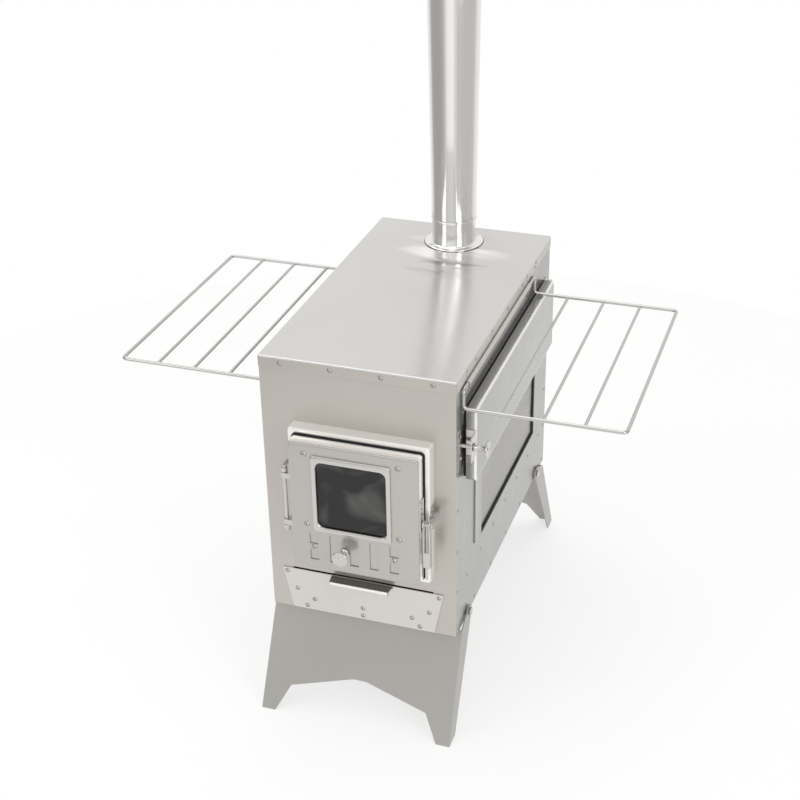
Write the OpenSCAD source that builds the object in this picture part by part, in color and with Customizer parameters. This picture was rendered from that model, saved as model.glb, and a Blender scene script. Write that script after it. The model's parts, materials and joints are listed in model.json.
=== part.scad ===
// Folding wood stove for a tent: sheet-steel firebox on two folding legs, a glazed front
// door with an air slider, a side loading door over a side window, two folding wire racks,
// an ash drawer and a lift-off section of flue pipe.
// Millimetres. +Z is up, the front door faces -Y, and the origin lies on the ground under
// the middle of the firebox.

/* [Body] */
// Width of the firebox over its lid
body_w = 250; // [240:1:300]
// Depth of the firebox over its lid
body_d = 455; // [440:1:540]
// Height of the firebox, without its legs
body_h = 364; // [356:1:420]
// Thickness of the firebox sheets
wall_t = 1.2; // [1:0.1:1.5]
// Height of the lid's flange, which folds down over the walls
lid_flange_h = 15; // [12:1:15]
// Width of the folded returns at the corners of the front and rear walls
return_w = 7; // [5:1:7]

/* [Front door] */
// Width of the front door pan
door_w = 165; // [155:1:168]
// Height of the front door pan
door_h = 177.5; // [174:0.5:184]
// Offset of the front door to the right of the middle
door_x = 6; // [2:1:8]
// Height of the front door's middle above the firebox floor
door_z = 184; // [182:1:188]
// Depth of the door pan
door_depth = 17; // [15:1:20]
// How far the fixed collar behind the door stands out of the front wall
collar_depth = 17; // [15:1:20]
// How far the collar is larger than the door on each side
collar_margin = 7.5; // [6:0.5:8]
// Width of the collar's rim
collar_rim = 14; // [12:1:16]
// Gap between collar and door, which the gasket fills
door_gap = 3; // [3:0.5:4]
// Thickness of the door sheets
door_t = 1.2; // [1:0.1:1.4]

/* [Front window] */
// Width of the visible glass
window_w = 89; // [80:1:91]
// Height of the visible glass
window_h = 92; // [82:1:93]
// Corner radius of the visible glass
window_r = 9; // [5:1:14]
// Offset of the window to the left of the door's middle
window_off_x = 2.5; // [0:0.5:4]
// Height of the window's middle above the door's middle
window_off_z = 20; // [19.5:0.5:22]
// Thickness of the glass panes
glass_t = 4; // [3:0.5:4]
// Thickness of the raised frame round the glass
rim_t = 3; // [2:0.5:4]
// Width of the raised frame round the glass
rim_w = 6; // [5:0.5:8]
// Width of the raised frame above the glass
rim_top = 9; // [6:0.5:10]

/* [Air slider] */
// Width of one air slot
slot_w = 11.5; // [10:0.5:12]
// Height of one air slot
slot_h = 39; // [34:1:40]
// Distance from one air slot to the next
slot_pitch = 26; // [25:0.5:27]
// Height of the slots' middle below the door's middle
slot_drop = 57; // [56:0.5:58]
// Offset of the slots to the left of the door's middle
slots_off_x = 1.5; // [0:0.5:2]
// Height of the bridge that carries a guide screw across an outer slot
slot_bridge = 8; // [7:0.5:10]
// Radius of the knob's disc
knob_r = 10.5; // [8:0.5:12]
// Length of a knob from its seat to its end
knob_l = 18; // [14:1:20]

/* [Side door] */
// Length of the side door pan
side_door_l = 386; // [370:1:388]
// Height of the side door pan
side_door_h = 98; // [92:1:99]
// Distance of the side door's front edge behind the firebox front
side_door_in = 26; // [26:1:30]
// Height of the side door's middle above the firebox floor
side_door_z = 267.5; // [265:0.5:268]
// Depth of the side door pan
side_door_depth = 13; // [12:1:14]
// Largest swing of the side door, in degrees
side_door_swing = 110; // [60:5:110]

/* [Side window] */
// Length of the visible side glass
side_window_l = 272; // [230:2:276]
// Height of the visible side glass
side_window_h = 120; // [100:2:121]
// Distance of the side glass behind the firebox front
side_window_in = 114; // [110:1:120]
// Height of the side glass's lower edge above the firebox floor
side_window_z = 84; // [82:1:88]

/* [Racks] */
// Radius of the rack wire
wire_r = 2.25; // [2:0.05:2.4]
// Reach of a rack beyond the firebox lid
rack_reach = 195; // [150:1:210]
// Distance of the front rack arm behind the firebox front
rack_in = 21.3; // [18:0.1:30]
// Distance between the two arms of a rack
rack_l = 335.8; // [300:0.1:345]
// Height of the rack above the firebox floor
rack_z = 319.5; // [319.5:0.5:324]
// Height of the rack's pivot above the rack
rack_drop = 25.5; // [20:0.5:25.5]
// Number of rods between the arms and the outer wire
rack_rods = 3; // [1:1:5]

/* [Ash drawer] */
// Width of the drawer front along its upper edge
drawer_front_w = 216; // [208:1:230]
// How much narrower the drawer front is on each side along its lower edge
drawer_front_taper = 12; // [0:1:14]
// Height of the drawer front
drawer_front_h = 60; // [52:1:60]
// Width of the drawer tray
drawer_w = 172; // [150:1:176]
// Length of the drawer tray
drawer_l = 400; // [360:1:420]
// Height of the drawer tray
drawer_h = 40; // [30:1:46]
// Width of the pull along the drawer front
pull_w = 82; // [60:1:100]
// How far the pull stands out
pull_out = 16; // [12:1:20]
// Open slot above the drawer front
drawer_slot = 2; // [1.5:0.5:3]

/* [Legs] */
// Height of the firebox floor above the ground
leg_h = 139; // [130:1:150]
// Lean of the legs from upright, in degrees
leg_lean = 25; // [22:1:26]
// How far the feet stand out beyond the firebox front and rear
foot_out = 48.1; // [44:0.1:52]
// Half the distance over the outer corners of one leg's feet
foot_half = 130; // [129:0.5:133]
// Thickness of the leg sheet
leg_t = 1.5; // [1.2:0.1:2]
// Width of a foot
foot_w = 18.5; // [14:0.5:26]
// Height of the arch above the ground where it leaves a foot
arch_side_h = 34; // [24:1:40]
// Height of the arch above the ground in the middle
arch_mid_h = 56; // [42:1:70]
// Distance of a leg's pivot inside the firebox front or rear
pivot_in = 51; // [48:1:56]
// Height of a leg's pivot above the firebox floor
pivot_up = 5.5; // [5:0.5:7]
// Radius of the pivot screws
pivot_r = 3; // [2.5:0.25:3.5]

/* [Flue] */
// Outer radius of the collar that carries the flue pipe
flue_r = 30; // [27:0.5:33]
// Distance of the flue's axis behind the firebox middle
flue_y = 172; // [150:1:174]
// Height of the collar's bead above the lid, where the pipe rests
bead_h = 38.5; // [20:0.5:50]
// How far the pipe reaches down over the collar's spigot
spigot_l = 30; // [20:1:40]
// Outer radius of the pipe at its upper end
pipe_top_r = 35; // [32.5:0.5:38]
// Height of the pipe's upper end above the lid
pipe_top_h = 392; // [300:1:600]
// Length of the straight upper end of the pipe
pipe_end_l = 60; // [40:1:80]
// Thickness of the pipe sheet
pipe_t = 0.8; // [0.6:0.1:1]

/* [Fasteners] */
// Radius of a rivet head
rivet_r = 2.5; // [2:0.1:2.6]
// Height of a rivet head
rivet_h = 1.1; // [0.8:0.1:1.2]

/* [Hidden] */
$fn = 48;

// Clearance between parts that move past each other
run_gap = 0.3;
// Radial clearance of a pin in its bore
pin_gap = 0.08;

// Faces of the firebox
front_y = -body_d / 2;
rear_y = body_d / 2;
wall_x = body_w / 2 - wall_t;
wall_y = body_d / 2 - wall_t;
lid_z = body_h - wall_t;

// Front door planes, counted outwards from the front wall
door_back_y = -wall_y - collar_depth - door_gap;
door_face_y = door_back_y - door_depth;
door_inner_y = door_face_y + door_t;
window_x = door_x - window_off_x;
window_z = door_z + window_off_z;
slot_z = door_z - slot_drop;
slot_count = 5;
slots_x = [for (i = [0:slot_count - 1])
    door_x - slots_off_x + (i - (slot_count - 1) / 2) * slot_pitch];
collar_w = door_w + 2 * collar_margin;
collar_h = door_h + 2 * collar_margin;
throat_w = collar_w - 2 * collar_rim;
throat_h = collar_h - 2 * collar_rim;

// Front window stack, from the door's face inwards
glass_lap = 6;
pane_w = window_w + 2 * glass_lap;
pane_h = window_h + 2 * glass_lap;
gasket_t = 1.5;
seal_w = 6;
glass_back_y = door_inner_y + glass_t;
retainer_y = glass_back_y + gasket_t;
screw_in = 9;
screw_x = pane_w / 2 + screw_in;
screw_z_up = window_h / 2 + 9;
screw_z_down = window_h / 2 - 1;
screw_r = 1.8;
retainer_w = 2 * screw_x + 10;

// Air slider
slider_y = door_inner_y + run_gap;
stem_r = 2;
stem_off = 6.5;
stem_x = slots_x[2] - slot_w / 2 - stem_off;
slider_travel = slot_w + 0.4;
slider_bar = 10;
slider_x0 = slots_x[0] - slot_w / 2 - slider_travel - 2;
slider_x1 = slots_x[slot_count - 1] + slot_w / 2 + 4;

// Front hinge: a long upright pin left of the door
hinge_r = 2.4;
hinge_x = door_x - door_w / 2 - 10.8;
hinge_y = door_back_y - 5;
hinge_half = 30;
knuckle_h = 7.6;
lug_h = 6;

// Front latch: a handle that hangs from a cross pin on the door's right side
latch_x = door_x + door_w / 2;
latch_y = door_back_y - 8;
latch_z = door_z - 3;
latch_pin_r = 2.2;
nose_x0 = door_x + collar_w / 2 + 1.5;
nose_x1 = nose_x0 + 3;
latch_bar_l = 39;
latch_plate_l = 22;
latch_tip_l = 17;
latch_rivets_z = [20, 28];

// Side door planes, counted outwards from the right wall
side_gasket_t = 2.6;
side_frame_t = 1.5;
side_back_x = wall_x + side_frame_t + side_gasket_t + run_gap;
side_face_x = side_back_x + side_door_depth;
side_y0 = front_y + side_door_in;
side_y1 = side_y0 + side_door_l;
side_z0 = side_door_z - side_door_h / 2;
side_z1 = side_door_z + side_door_h / 2;
side_rim = 14;
side_hinge_r = 2.2;
side_hinge_x = side_back_x + 5.5;
side_hinge_y = side_y1 + 6.5;
side_latch_y = side_y0 - 10;
side_latch_z = side_door_z + 5.5;
side_shaft_r = 2.5;
blade_w = 2.6;
blade_l = 12;
side_seat_x = side_back_x + 13;
keeper_half = 29;
keeper_drop = 5;

// Side window
side_win_y = front_y + side_window_in + side_window_l / 2;
side_win_z = side_window_z + side_window_h / 2;
side_lap = 6;
side_glass_x = wall_x - wall_t - 2;

// Racks: the wire hangs from a curled rail below the lid's flange
rack_pivot_x = wall_x + wire_r + 0.35;
rack_pivot_z = rack_z + rack_drop;
rail_r = wire_r + 1.3;
rack_y0 = front_y + rack_in;
rack_y1 = rack_y0 + rack_l;
rack_out_x = body_w / 2 + rack_reach;
rack_bend = 6;
rack_pin_l = 44;
rail_front = 16;
rail_rear = 32;
rail_y = [rack_y0 + rail_front, rack_y1 - rail_rear];

// Ash drawer
drawer_gap_z = wall_t + run_gap;
drawer_front_z = 1;
drawer_hole_w = drawer_front_w - 2 * drawer_front_taper - 4;
drawer_hole_z = drawer_front_z + drawer_front_h + drawer_slot;
grate_t = 3;
grate_z = drawer_hole_z + 2.5;

// Legs
leg_top_half = wall_x + 2.1 + leg_t;
leg_rise = leg_h - 0.5;
side_lean = atan((foot_half - leg_top_half) / leg_h);
pivot_z = leg_h + pivot_up;
screw_r_out = pivot_r + 2.5;
flange_foot = 25;
ear_r = 9;

// Rivet rows
rivet_pitch = 60;
rivet_in = 8;
grate_row_front = 50;
grate_row_rear = 36;
grate_row_gaps = 6;
grate_rivet_pitch = (body_d - grate_row_front - grate_row_rear) / grate_row_gaps;
floor_row_front = 87;
floor_row_rear = 137;
floor_row_gaps = 3;
floor_rivet_pitch = (body_d - floor_row_front - floor_row_rear) / floor_row_gaps;
floor_row_z = 4;
grate_rail_z = grate_z - 4;

// ---------------------------------------------------------------- shared shapes

// Block between two limits on each axis
module span(x, y, z) {
    translate([x[0], y[0], z[0]]) cube([x[1] - x[0], y[1] - y[0], z[1] - z[0]]);
}

// Flat shape drawn in X and Z, standing up, from y_back forward by its thickness
module front_sheet(y_back, t) {
    translate([0, y_back, 0]) rotate([90, 0, 0]) linear_extrude(t) children();
}

// Flat shape drawn in Y and Z, standing up, from x_in outward by its thickness
module side_sheet(x_in, t) {
    translate([x_in, 0, 0]) rotate([90, 0, 90]) linear_extrude(t) children();
}

// Rectangle with round corners, about its middle
module round_rect(w, h, r) {
    square([w - 2 * r, h], center = true);
    square([w, h - 2 * r], center = true);
    for (sx = [-1, 1], sy = [-1, 1]) translate([sx * (w / 2 - r), sy * (h / 2 - r)]) circle(r);
}

// Rod along X, Y or Z between two values on that axis
module rod_x(x, y, z, r) {
    translate([x[0], y, z]) rotate([0, 90, 0]) cylinder(h = x[1] - x[0], r = r);
}
module rod_y(x, y, z, r) {
    translate([x, y[0], z]) rotate([-90, 0, 0]) cylinder(h = y[1] - y[0], r = r);
}
module rod_z(x, y, z, r) {
    translate([x, y, z[0]]) cylinder(h = z[1] - z[0], r = r);
}

// Domed rivet head standing on a face, along +Z
module rivet_head(r = rivet_r, h = rivet_h) {
    cylinder(h = h * 0.45, r = r);
    translate([0, 0, h * 0.45]) cylinder(h = h * 0.55, r1 = r, r2 = r * 0.5);
}
module rivet_front(x, y, z, r = rivet_r, h = rivet_h) {
    translate([x, y, z]) rotate([90, 0, 0]) rivet_head(r, h);
}
module rivet_rear(x, y, z) { translate([x, y, z]) rotate([-90, 0, 0]) rivet_head(); }
module rivet_right(x, y, z, r = rivet_r) {
    translate([x, y, z]) rotate([0, 90, 0]) rivet_head(r);
}
module rivet_left(x, y, z) { translate([x, y, z]) rotate([0, -90, 0]) rivet_head(); }

// Everything above the ground is drawn from the firebox floor upwards
module on_legs() { translate([0, 0, leg_h]) children(); }

// ---------------------------------------------------------------- firebox sheets

// Front or rear wall with its folded corner returns; the rear wall is the front one turned
module end_wall() {
    front_sheet(-wall_y + wall_t, wall_t)
        translate([0, lid_z / 2]) square([2 * wall_x, lid_z], center = true);
    for (s = [-1, 1]) {
        inner = wall_x - wall_t;
        x = s > 0 ? [inner - wall_t, inner] : [-inner, -inner + wall_t];
        span(x, [-wall_y + wall_t, -wall_y + wall_t + return_w], [wall_t, lid_z]);
    }
}

module front_wall() {
    color("#b8b4ae") on_legs() difference() {
        end_wall();
        translate([door_x, 0, door_z]) front_sheet(-wall_y + 5, 10)
            round_rect(throat_w, throat_h, 4);
        span([-drawer_hole_w / 2, drawer_hole_w / 2], [-wall_y - 1, -wall_y + wall_t + 1],
             [wall_t, drawer_hole_z]);
    }
}

module rear_wall() {
    color("#b8b4ae") on_legs() mirror([0, 1, 0]) end_wall();
}

module plain_side() {
    y = wall_y - wall_t;
    difference() {
        side_sheet(wall_x - wall_t, wall_t)
            translate([0, lid_z / 2]) square([2 * y, lid_z], center = true);
        for (s = [-1, 1])
            rod_x([wall_x - 5, wall_x + 5], s * (body_d / 2 - pivot_in), pivot_up, pivot_r);
    }
}

module left_wall() { color("#bcbcb9") on_legs() mirror([1, 0, 0]) plain_side(); }

module right_wall() {
    color("#bcbcb9") on_legs() difference() {
        plain_side();
        side_sheet(wall_x - 5, 10) {
            translate([(side_y0 + side_y1) / 2, side_door_z])
                round_rect(side_door_l - 2 * side_rim, side_door_h - 2 * side_rim, 4);
            translate([side_win_y, side_win_z]) square([side_window_l, side_window_h], center = true);
            translate([side_latch_y, side_latch_z]) keyhole(0.4);
        }
    }
}

module floor_plate() {
    x = wall_x - wall_t;
    y = wall_y - wall_t;
    color("#a8a6a2") on_legs() span([-x, x], [-y, y], [0, wall_t]);
}

module top_plate() {
    color("#dedcd9") on_legs() difference() {
        span([-body_w / 2, body_w / 2], [front_y, rear_y], [body_h - lid_flange_h, body_h]);
        span([-wall_x, wall_x], [-wall_y, wall_y], [0, lid_z]);
        rod_z(0, flue_y, [body_h - 20, body_h + 5], flue_r + 0.2);
        rod_z(0, flue_y, [body_h - ring_seat, body_h + 5], flue_r + ring_w + 0.2);
    }
}

lid_rivet_z = body_h - lid_flange_h / 2;
lid_front_rivets_x = [-96, -32, 32, 96];
lid_side_single = [78, 224, 299];
lid_side_pair = [40, 149, 321, 369];

module top_plate_rivets() {
    color("#8d8b88") on_legs() {
        for (x = lid_front_rivets_x) {
            rivet_front(x, front_y, lid_rivet_z);
            rivet_rear(x, rear_y, lid_rivet_z);
        }
        for (y = lid_side_single) {
            rivet_right(body_w / 2, front_y + y, lid_rivet_z);
            rivet_left(-body_w / 2, front_y + y, lid_rivet_z);
        }
        for (y = lid_side_pair, dz = [-3.6, 3.6]) {
            rivet_right(body_w / 2, front_y + y, lid_rivet_z + dz, rivet_r * 0.8);
            translate([-body_w / 2, front_y + y, lid_rivet_z + dz]) rotate([0, -90, 0])
                rivet_head(rivet_r * 0.8);
        }
    }
}

corner_rivets_z = [for (i = [0:3]) floor_row_z + i * rivet_pitch];
grate_rivets_y = [for (i = [0:grate_row_gaps]) front_y + grate_row_front + i * grate_rivet_pitch];
floor_rivets_y = [for (i = [0:floor_row_gaps]) front_y + floor_row_front + i * floor_rivet_pitch];

module side_wall_rivets() {
    color("#8d8b88") on_legs() {
        for (z = corner_rivets_z, s = [-1, 1]) {
            rivet_right(wall_x, s * (body_d / 2 - rivet_in), z);
            rivet_left(-wall_x, s * (body_d / 2 - rivet_in), z);
            rivet_rear(s * (body_w / 2 - rivet_in), wall_y, z + 4);
        }
        for (y = grate_rivets_y) {
            rivet_right(wall_x, y, grate_rail_z);
            rivet_left(-wall_x, y, grate_rail_z);
        }
        for (y = floor_rivets_y) {
            rivet_right(wall_x, y, floor_row_z);
            rivet_left(-wall_x, y, floor_row_z);
        }
    }
}

// ---------------------------------------------------------------- flue

flue_t = 1;
ring_w = 10.5;
ring_t = 1.5;
// Depth of the seat that is pressed into the lid under the ring
ring_seat = 0.3;
spigot_top = bead_h + spigot_l;
collar_tail = 5;

module flue_collar() {
    color("#cfcdca") on_legs() translate([0, flue_y, body_h]) rotate_extrude($fn = 64) {
        translate([flue_r - flue_t, -collar_tail]) square([flue_t, spigot_top + collar_tail]);
        translate([flue_r - flue_t, -ring_seat]) square([ring_w + flue_t, ring_t + ring_seat]);
        translate([flue_r - flue_t, bead_h - 3.5]) square([flue_t + 1.3, 3.2]);
    }
}

module flue_collar_rivets() {
    color("#8d8b88") on_legs() for (a = [45:90:315])
        translate([0, flue_y, body_h + ring_t]) rotate([0, 0, a])
            translate([flue_r + ring_w / 2, 0, 0]) rivet_head(1.8, 1);
}

module chimney_pipe() {
    r0 = flue_r + pin_gap;
    r1 = pipe_top_r - pipe_t;
    h1 = spigot_l + 4;
    h2 = pipe_top_h - bead_h - pipe_end_l;
    h3 = pipe_top_h - bead_h;
    color("#c9c8c6") on_legs() translate([0, flue_y, body_h + bead_h]) {
        rotate_extrude($fn = 64) polygon([
            [r0, 0], [r0 + pipe_t, 0], [r0 + pipe_t, h1], [r1 + pipe_t, h2], [r1 + pipe_t, h3],
            [r1, h3], [r1, h2], [r0, h1]
        ]);
    }
}

// ---------------------------------------------------------------- inside the firebox

module grate() {
    x = wall_x - wall_t - 3;
    y = wall_y - wall_t - 12;
    color("#6f6d6a") on_legs() difference() {
        span([-x, x], [-y, y], [grate_z, grate_z + grate_t]);
        for (i = [-3:3], j = [-1, 1])
            translate([i * 30, j * y / 2, grate_z - 1]) linear_extrude(grate_t + 2)
                round_rect(10, y * 0.86, 4.9);
    }
}

module grate_rails() {
    x = wall_x - wall_t;
    y = wall_y - wall_t - 20;
    color("#908e8a") on_legs() for (s = [-1, 1]) {
        span(s > 0 ? [x - 14, x] : [-x, -x + 14], [-y, y], [grate_z - 1.5, grate_z]);
        span(s > 0 ? [x - 1.5, x] : [-x, -x + 1.5], [-y, y], [grate_z - 8, grate_z - 1.5]);
    }
}

module drawer_runners() {
    x = drawer_w / 2 + 0.5;
    y = wall_y - wall_t - 1;
    color("#908e8a") on_legs() for (s = [-1, 1]) {
        span(s > 0 ? [x, x + 1.5] : [-x - 1.5, -x], [-y, y], [wall_t, wall_t + 14]);
        span(s > 0 ? [x, x + 12] : [-x - 12, -x], [-y, y], [wall_t, wall_t + 1.5]);
    }
}

// ---------------------------------------------------------------- front door

// Pan with its open side towards +Y: a face sheet with four folded sides
module front_pan(w, h, depth, t, y_face) {
    front_sheet(y_face + t, t) round_rect(w, h, 3);
    front_sheet(y_face + depth, depth - t) difference() {
        round_rect(w, h, 3);
        round_rect(w - 2 * t, h - 2 * t, 3 - t);
    }
}

module front_door_collar() {
    y = -wall_y - collar_depth;
    color("#cac7c2") on_legs() translate([door_x, 0, door_z]) {
        front_sheet(-wall_y, collar_depth) difference() {
            round_rect(collar_w, collar_h, 3);
            round_rect(collar_w - 2 * wall_t, collar_h - 2 * wall_t, 2);
        }
        front_sheet(y + wall_t, wall_t) difference() {
            round_rect(collar_w - wall_t, collar_h - wall_t, 2);
            round_rect(throat_w + 0.4, throat_h + 0.4, 3);
        }
        front_sheet(-wall_y, collar_depth) difference() {
            round_rect(throat_w + 2 * wall_t, throat_h + 2 * wall_t, 4);
            round_rect(throat_w, throat_h, 3);
        }
    }
}

module front_door_gasket() {
    color("#1c1b1a") on_legs() translate([door_x, 0, door_z])
        front_sheet(-wall_y - collar_depth, door_gap - run_gap) difference() {
            round_rect(door_w + 7, door_h + 7, 5);
            round_rect(door_w - 17, door_h - 17, 3);
        }
}

// Upright opening of a slot's width, from a height to a height about the slots' middle
module slot_cut(x, z, back) {
    span([x - slot_w / 2, x + slot_w / 2], [door_face_y - 1, door_inner_y + 1 + back],
         [slot_z + z[0], slot_z + z[1]]);
}

module front_door_shell() {
    color("#b7b2ab") on_legs() difference() {
        translate([door_x, 0, door_z]) front_pan(door_w, door_h, door_depth, door_t, door_face_y);
        translate([window_x, 0, window_z]) front_sheet(door_inner_y + 1, door_t + 2)
            round_rect(window_w, window_h, window_r);
        for (i = [0:slot_count - 1], s = [-1, 1]) {
            bridge = i == 0 || i == slot_count - 1 ? slot_bridge / 2 : -1;
            slot_cut(slots_x[i], s > 0 ? [bridge, slot_h / 2] : [-slot_h / 2, -bridge], 0);
        }
        span([stem_x - stem_r - run_gap, slots_x[2] - slot_w / 2 + 1], [door_face_y - 1, door_inner_y + 1],
             [slot_z - stem_r - run_gap, slot_z + stem_r + run_gap]);
    }
}

// Heat shield inside the door: an open pan that reaches back from the door's face
module front_door_liner() {
    w = door_w - 2 * door_t - 1;
    h = door_h - 2 * door_t - 1;
    y = door_back_y - 2;
    color("#85827e") on_legs() translate([door_x, 0, door_z]) {
        front_sheet(y, 1) difference() {
            round_rect(w, h, 2);
            translate([-window_off_x, window_off_z]) round_rect(pane_w, pane_h, 4);
            translate([0, -slot_drop]) square([2 * slot_pitch * 2 - 14, slot_h - 8], center = true);
        }
        front_sheet(y - 1, door_depth - door_t - 3) difference() {
            round_rect(w, h, 2);
            round_rect(w - 2, h - 2, 1);
        }
    }
}

module front_glass_frame() {
    color("#bdb9b3") on_legs() translate([window_x, 0, window_z])
        front_sheet(door_face_y, rim_t) difference() {
            translate([0, (rim_top - rim_w) / 2])
                round_rect(window_w + 2 * rim_w, window_h + rim_w + rim_top, 3);
            round_rect(window_w, window_h, window_r);
        }
}

module front_glass() {
    color("#3d3f3d") on_legs() translate([window_x, 0, window_z])
        front_sheet(glass_back_y, glass_t) round_rect(pane_w, pane_h, 3);
}

module front_glass_gasket() {
    color("#1c1b1a") on_legs() translate([window_x, 0, window_z])
        front_sheet(retainer_y, gasket_t) difference() {
            round_rect(pane_w, pane_h, 3);
            round_rect(pane_w - 2 * seal_w, pane_h - 2 * seal_w, 3);
        }
}

module front_glass_retainer() {
    color("#85827e") on_legs() translate([window_x, 0, window_z])
        front_sheet(retainer_y + 1.2, 1.2) difference() {
            translate([0, (screw_z_up + 3 - pane_h / 2) / 2])
                square([retainer_w, screw_z_up + 3 + pane_h / 2], center = true);
            round_rect(pane_w - 2 * seal_w, pane_h - 2 * seal_w, 3);
            for (x = [-screw_x, screw_x], z = [-screw_z_down, screw_z_up])
                translate([x, z]) circle(screw_r);
        }
}

// Four screws through the door's face that hold the glass retainer
module front_door_screws() {
    color("#a09d99") on_legs() translate([window_x, 0, window_z])
        for (x = [-screw_x, screw_x], z = [-screw_z_down, screw_z_up]) {
            rivet_front(x, door_face_y, z, 3, 1.3);
            rod_y(x, [door_inner_y, retainer_y + 3], z, screw_r);
        }
}

// Fixed half of the front hinge: two lugs on the collar's left side
module front_hinge_lugs() {
    x_collar = door_x - collar_w / 2;
    color("#c3c0bb") on_legs() for (s = [-1, 1]) difference() {
        z = door_z + s * (hinge_half + knuckle_h + 0.8 + lug_h / 2);
        union() {
            rod_z(hinge_x, hinge_y, [z - lug_h / 2, z + lug_h / 2], hinge_r + 1.6);
            span([hinge_x - hinge_r - 1.6, hinge_x - hinge_r + 0.4], [hinge_y, -wall_y - 4],
                 [z - lug_h / 2, z + lug_h / 2]);
            span([hinge_x - hinge_r - 1.6, x_collar], [-wall_y - 6, -wall_y - 4],
                 [z - lug_h / 2, z + lug_h / 2]);
        }
        rod_z(hinge_x, hinge_y, [z - 10, z + 10], hinge_r);
    }
}

module front_hinge_pin() {
    half = hinge_half + knuckle_h + 0.8 + lug_h;
    color("#d2d0cd") on_legs() {
        rod_z(hinge_x, hinge_y, [door_z - half - 1, door_z + half + 1], hinge_r);
        for (s = [-1, 1]) rod_z(hinge_x, hinge_y, s > 0 ? [door_z + half, door_z + half + 2.2]
                                : [door_z - half - 2.2, door_z - half], hinge_r + 1.4);
    }
}

// Moving half of the front hinge: two knuckles on the door's left side
module front_hinge_knuckles() {
    x_door = door_x - door_w / 2;
    color("#c3c0bb") on_legs() for (s = [-1, 1]) difference() {
        z = door_z + s * (hinge_half + knuckle_h / 2);
        union() {
            rod_z(hinge_x, hinge_y, [z - knuckle_h / 2, z + knuckle_h / 2], hinge_r + 1.6);
            span([hinge_x, x_door], [hinge_y - hinge_r - 1.6, hinge_y - hinge_r],
                 [z - knuckle_h / 2, z + knuckle_h / 2]);
        }
        rod_z(hinge_x, hinge_y, [z - 10, z + 10], hinge_r + pin_gap);
    }
}

// Knob with a neck and a disc, standing on its seat along +Z
module spool_knob() {
    cylinder(h = 1.6, r = 5);
    cylinder(h = knob_l, r = 3);
    translate([0, 0, knob_l - 4.5]) cylinder(h = 2.5, r1 = 3, r2 = knob_r);
    translate([0, 0, knob_l - 2]) cylinder(h = 2, r = knob_r);
}

module air_slider() {
    z0 = slot_z - slot_h / 2 - 3;
    z1 = slot_z + slot_h / 2 + 3;
    color("#aba7a1") on_legs() difference() {
        span([slider_x0, slider_x1], [slider_y, slider_y + 1.2], [z0, z1]);
        for (i = [1:slot_count - 2], s = [-1, 1]) {
            bar = i == 2 ? slider_bar / 2 : -1;
            edge = slot_h / 2 - 1;
            slot_cut(slots_x[i] - slider_travel, s > 0 ? [bar, edge] : [-edge, -bar], 3);
        }
        for (x = [slots_x[0], slots_x[slot_count - 1]])
            span([x - slider_travel - 2.6, x + 2.6], [slider_y - 1, slider_y + 3],
                 [slot_z - 2.6, slot_z + 2.6]);
    }
}

module air_knob() {
    color("#d2d0cd") on_legs() {
        translate([stem_x, door_face_y - 0.9, slot_z]) rotate([90, 0, 0]) spool_knob();
        rod_y(stem_x, [door_face_y - 1, slider_y], slot_z, stem_r);
    }
}

// Two screws that guide the slider, in the bridges across the outer air slots
module slider_guide_screws() {
    y_liner = door_back_y - 3;
    color("#a09d99") on_legs() for (x = [slots_x[0], slots_x[slot_count - 1]]) {
        rivet_front(x, door_face_y, slot_z, 3, 1.3);
        rod_y(x, [door_inner_y, y_liner], slot_z, 2);
    }
}

// ---------------------------------------------------------------- front latch

module front_latch_bracket() {
    color("#c3c0bb") on_legs() {
        span([latch_x, latch_x + 1.5], [latch_y - 7, latch_y + 7], [latch_z - 9, latch_z + 34]);
        rod_x([latch_x + 1.5, nose_x1 + 1.2], latch_y, latch_z, latch_pin_r);
        rod_x([nose_x1 + 0.9, nose_x1 + 2.9], latch_y, latch_z, latch_pin_r + 1.6);
        for (z = latch_rivets_z) rivet_right(latch_x + 1.5, latch_y, latch_z + z, 3);
    }
}

// Handle that hangs from the cross pin, with a nose that reaches back beside the collar
module front_latch_handle() {
    plate_z = latch_z - latch_bar_l;
    color("#cfcdca") on_legs() difference() {
        union() {
            for (x = [[latch_x + 2.2, latch_x + 4.2], [nose_x0 + 1, nose_x1]]) {
                rod_x(x, latch_y, latch_z, 5);
                span(x, [latch_y - 3, latch_y + 3], [plate_z - latch_plate_l, latch_z]);
            }
            span([latch_x + 2.2, nose_x1], [latch_y - 3, latch_y - 1.6],
                 [plate_z - latch_plate_l, plate_z]);
            span([nose_x0, nose_x1], [latch_y, -wall_y - 5], [latch_z - 4, latch_z + 4]);
            span([latch_x + 6, nose_x1 - 3], [latch_y - 3, latch_y - 1.6],
                 [plate_z - latch_plate_l - latch_tip_l, plate_z - latch_plate_l]);
        }
        rod_x([latch_x, nose_x1 + 10], latch_y, latch_z, latch_pin_r + pin_gap);
    }
}

// Stud above the nose on the collar's right side
module front_latch_keeper() {
    x = door_x + collar_w / 2;
    color("#c3c0bb") on_legs() {
        span([x, x + 1.2], [-wall_y - 15, -wall_y - 2], [latch_z - 12, latch_z + 16]);
        span([x + 1.2, nose_x1 + 2], [-wall_y - 15, -wall_y - 5], [latch_z + 4.5, latch_z + 7]);
    }
}

// ---------------------------------------------------------------- side door

// Slot with a round middle, which the latch blade passes when it stands upright
module keyhole(gap) {
    square([blade_w + 2 * gap, blade_l + 2 * gap], center = true);
    circle(side_shaft_r + gap);
}

module side_ring(x_in, t, l, h, w) {
    side_sheet(x_in, t) translate([(side_y0 + side_y1) / 2, side_door_z]) difference() {
        round_rect(l, h, 4);
        round_rect(l - 2 * w, h - 2 * w, 3);
    }
}

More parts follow.
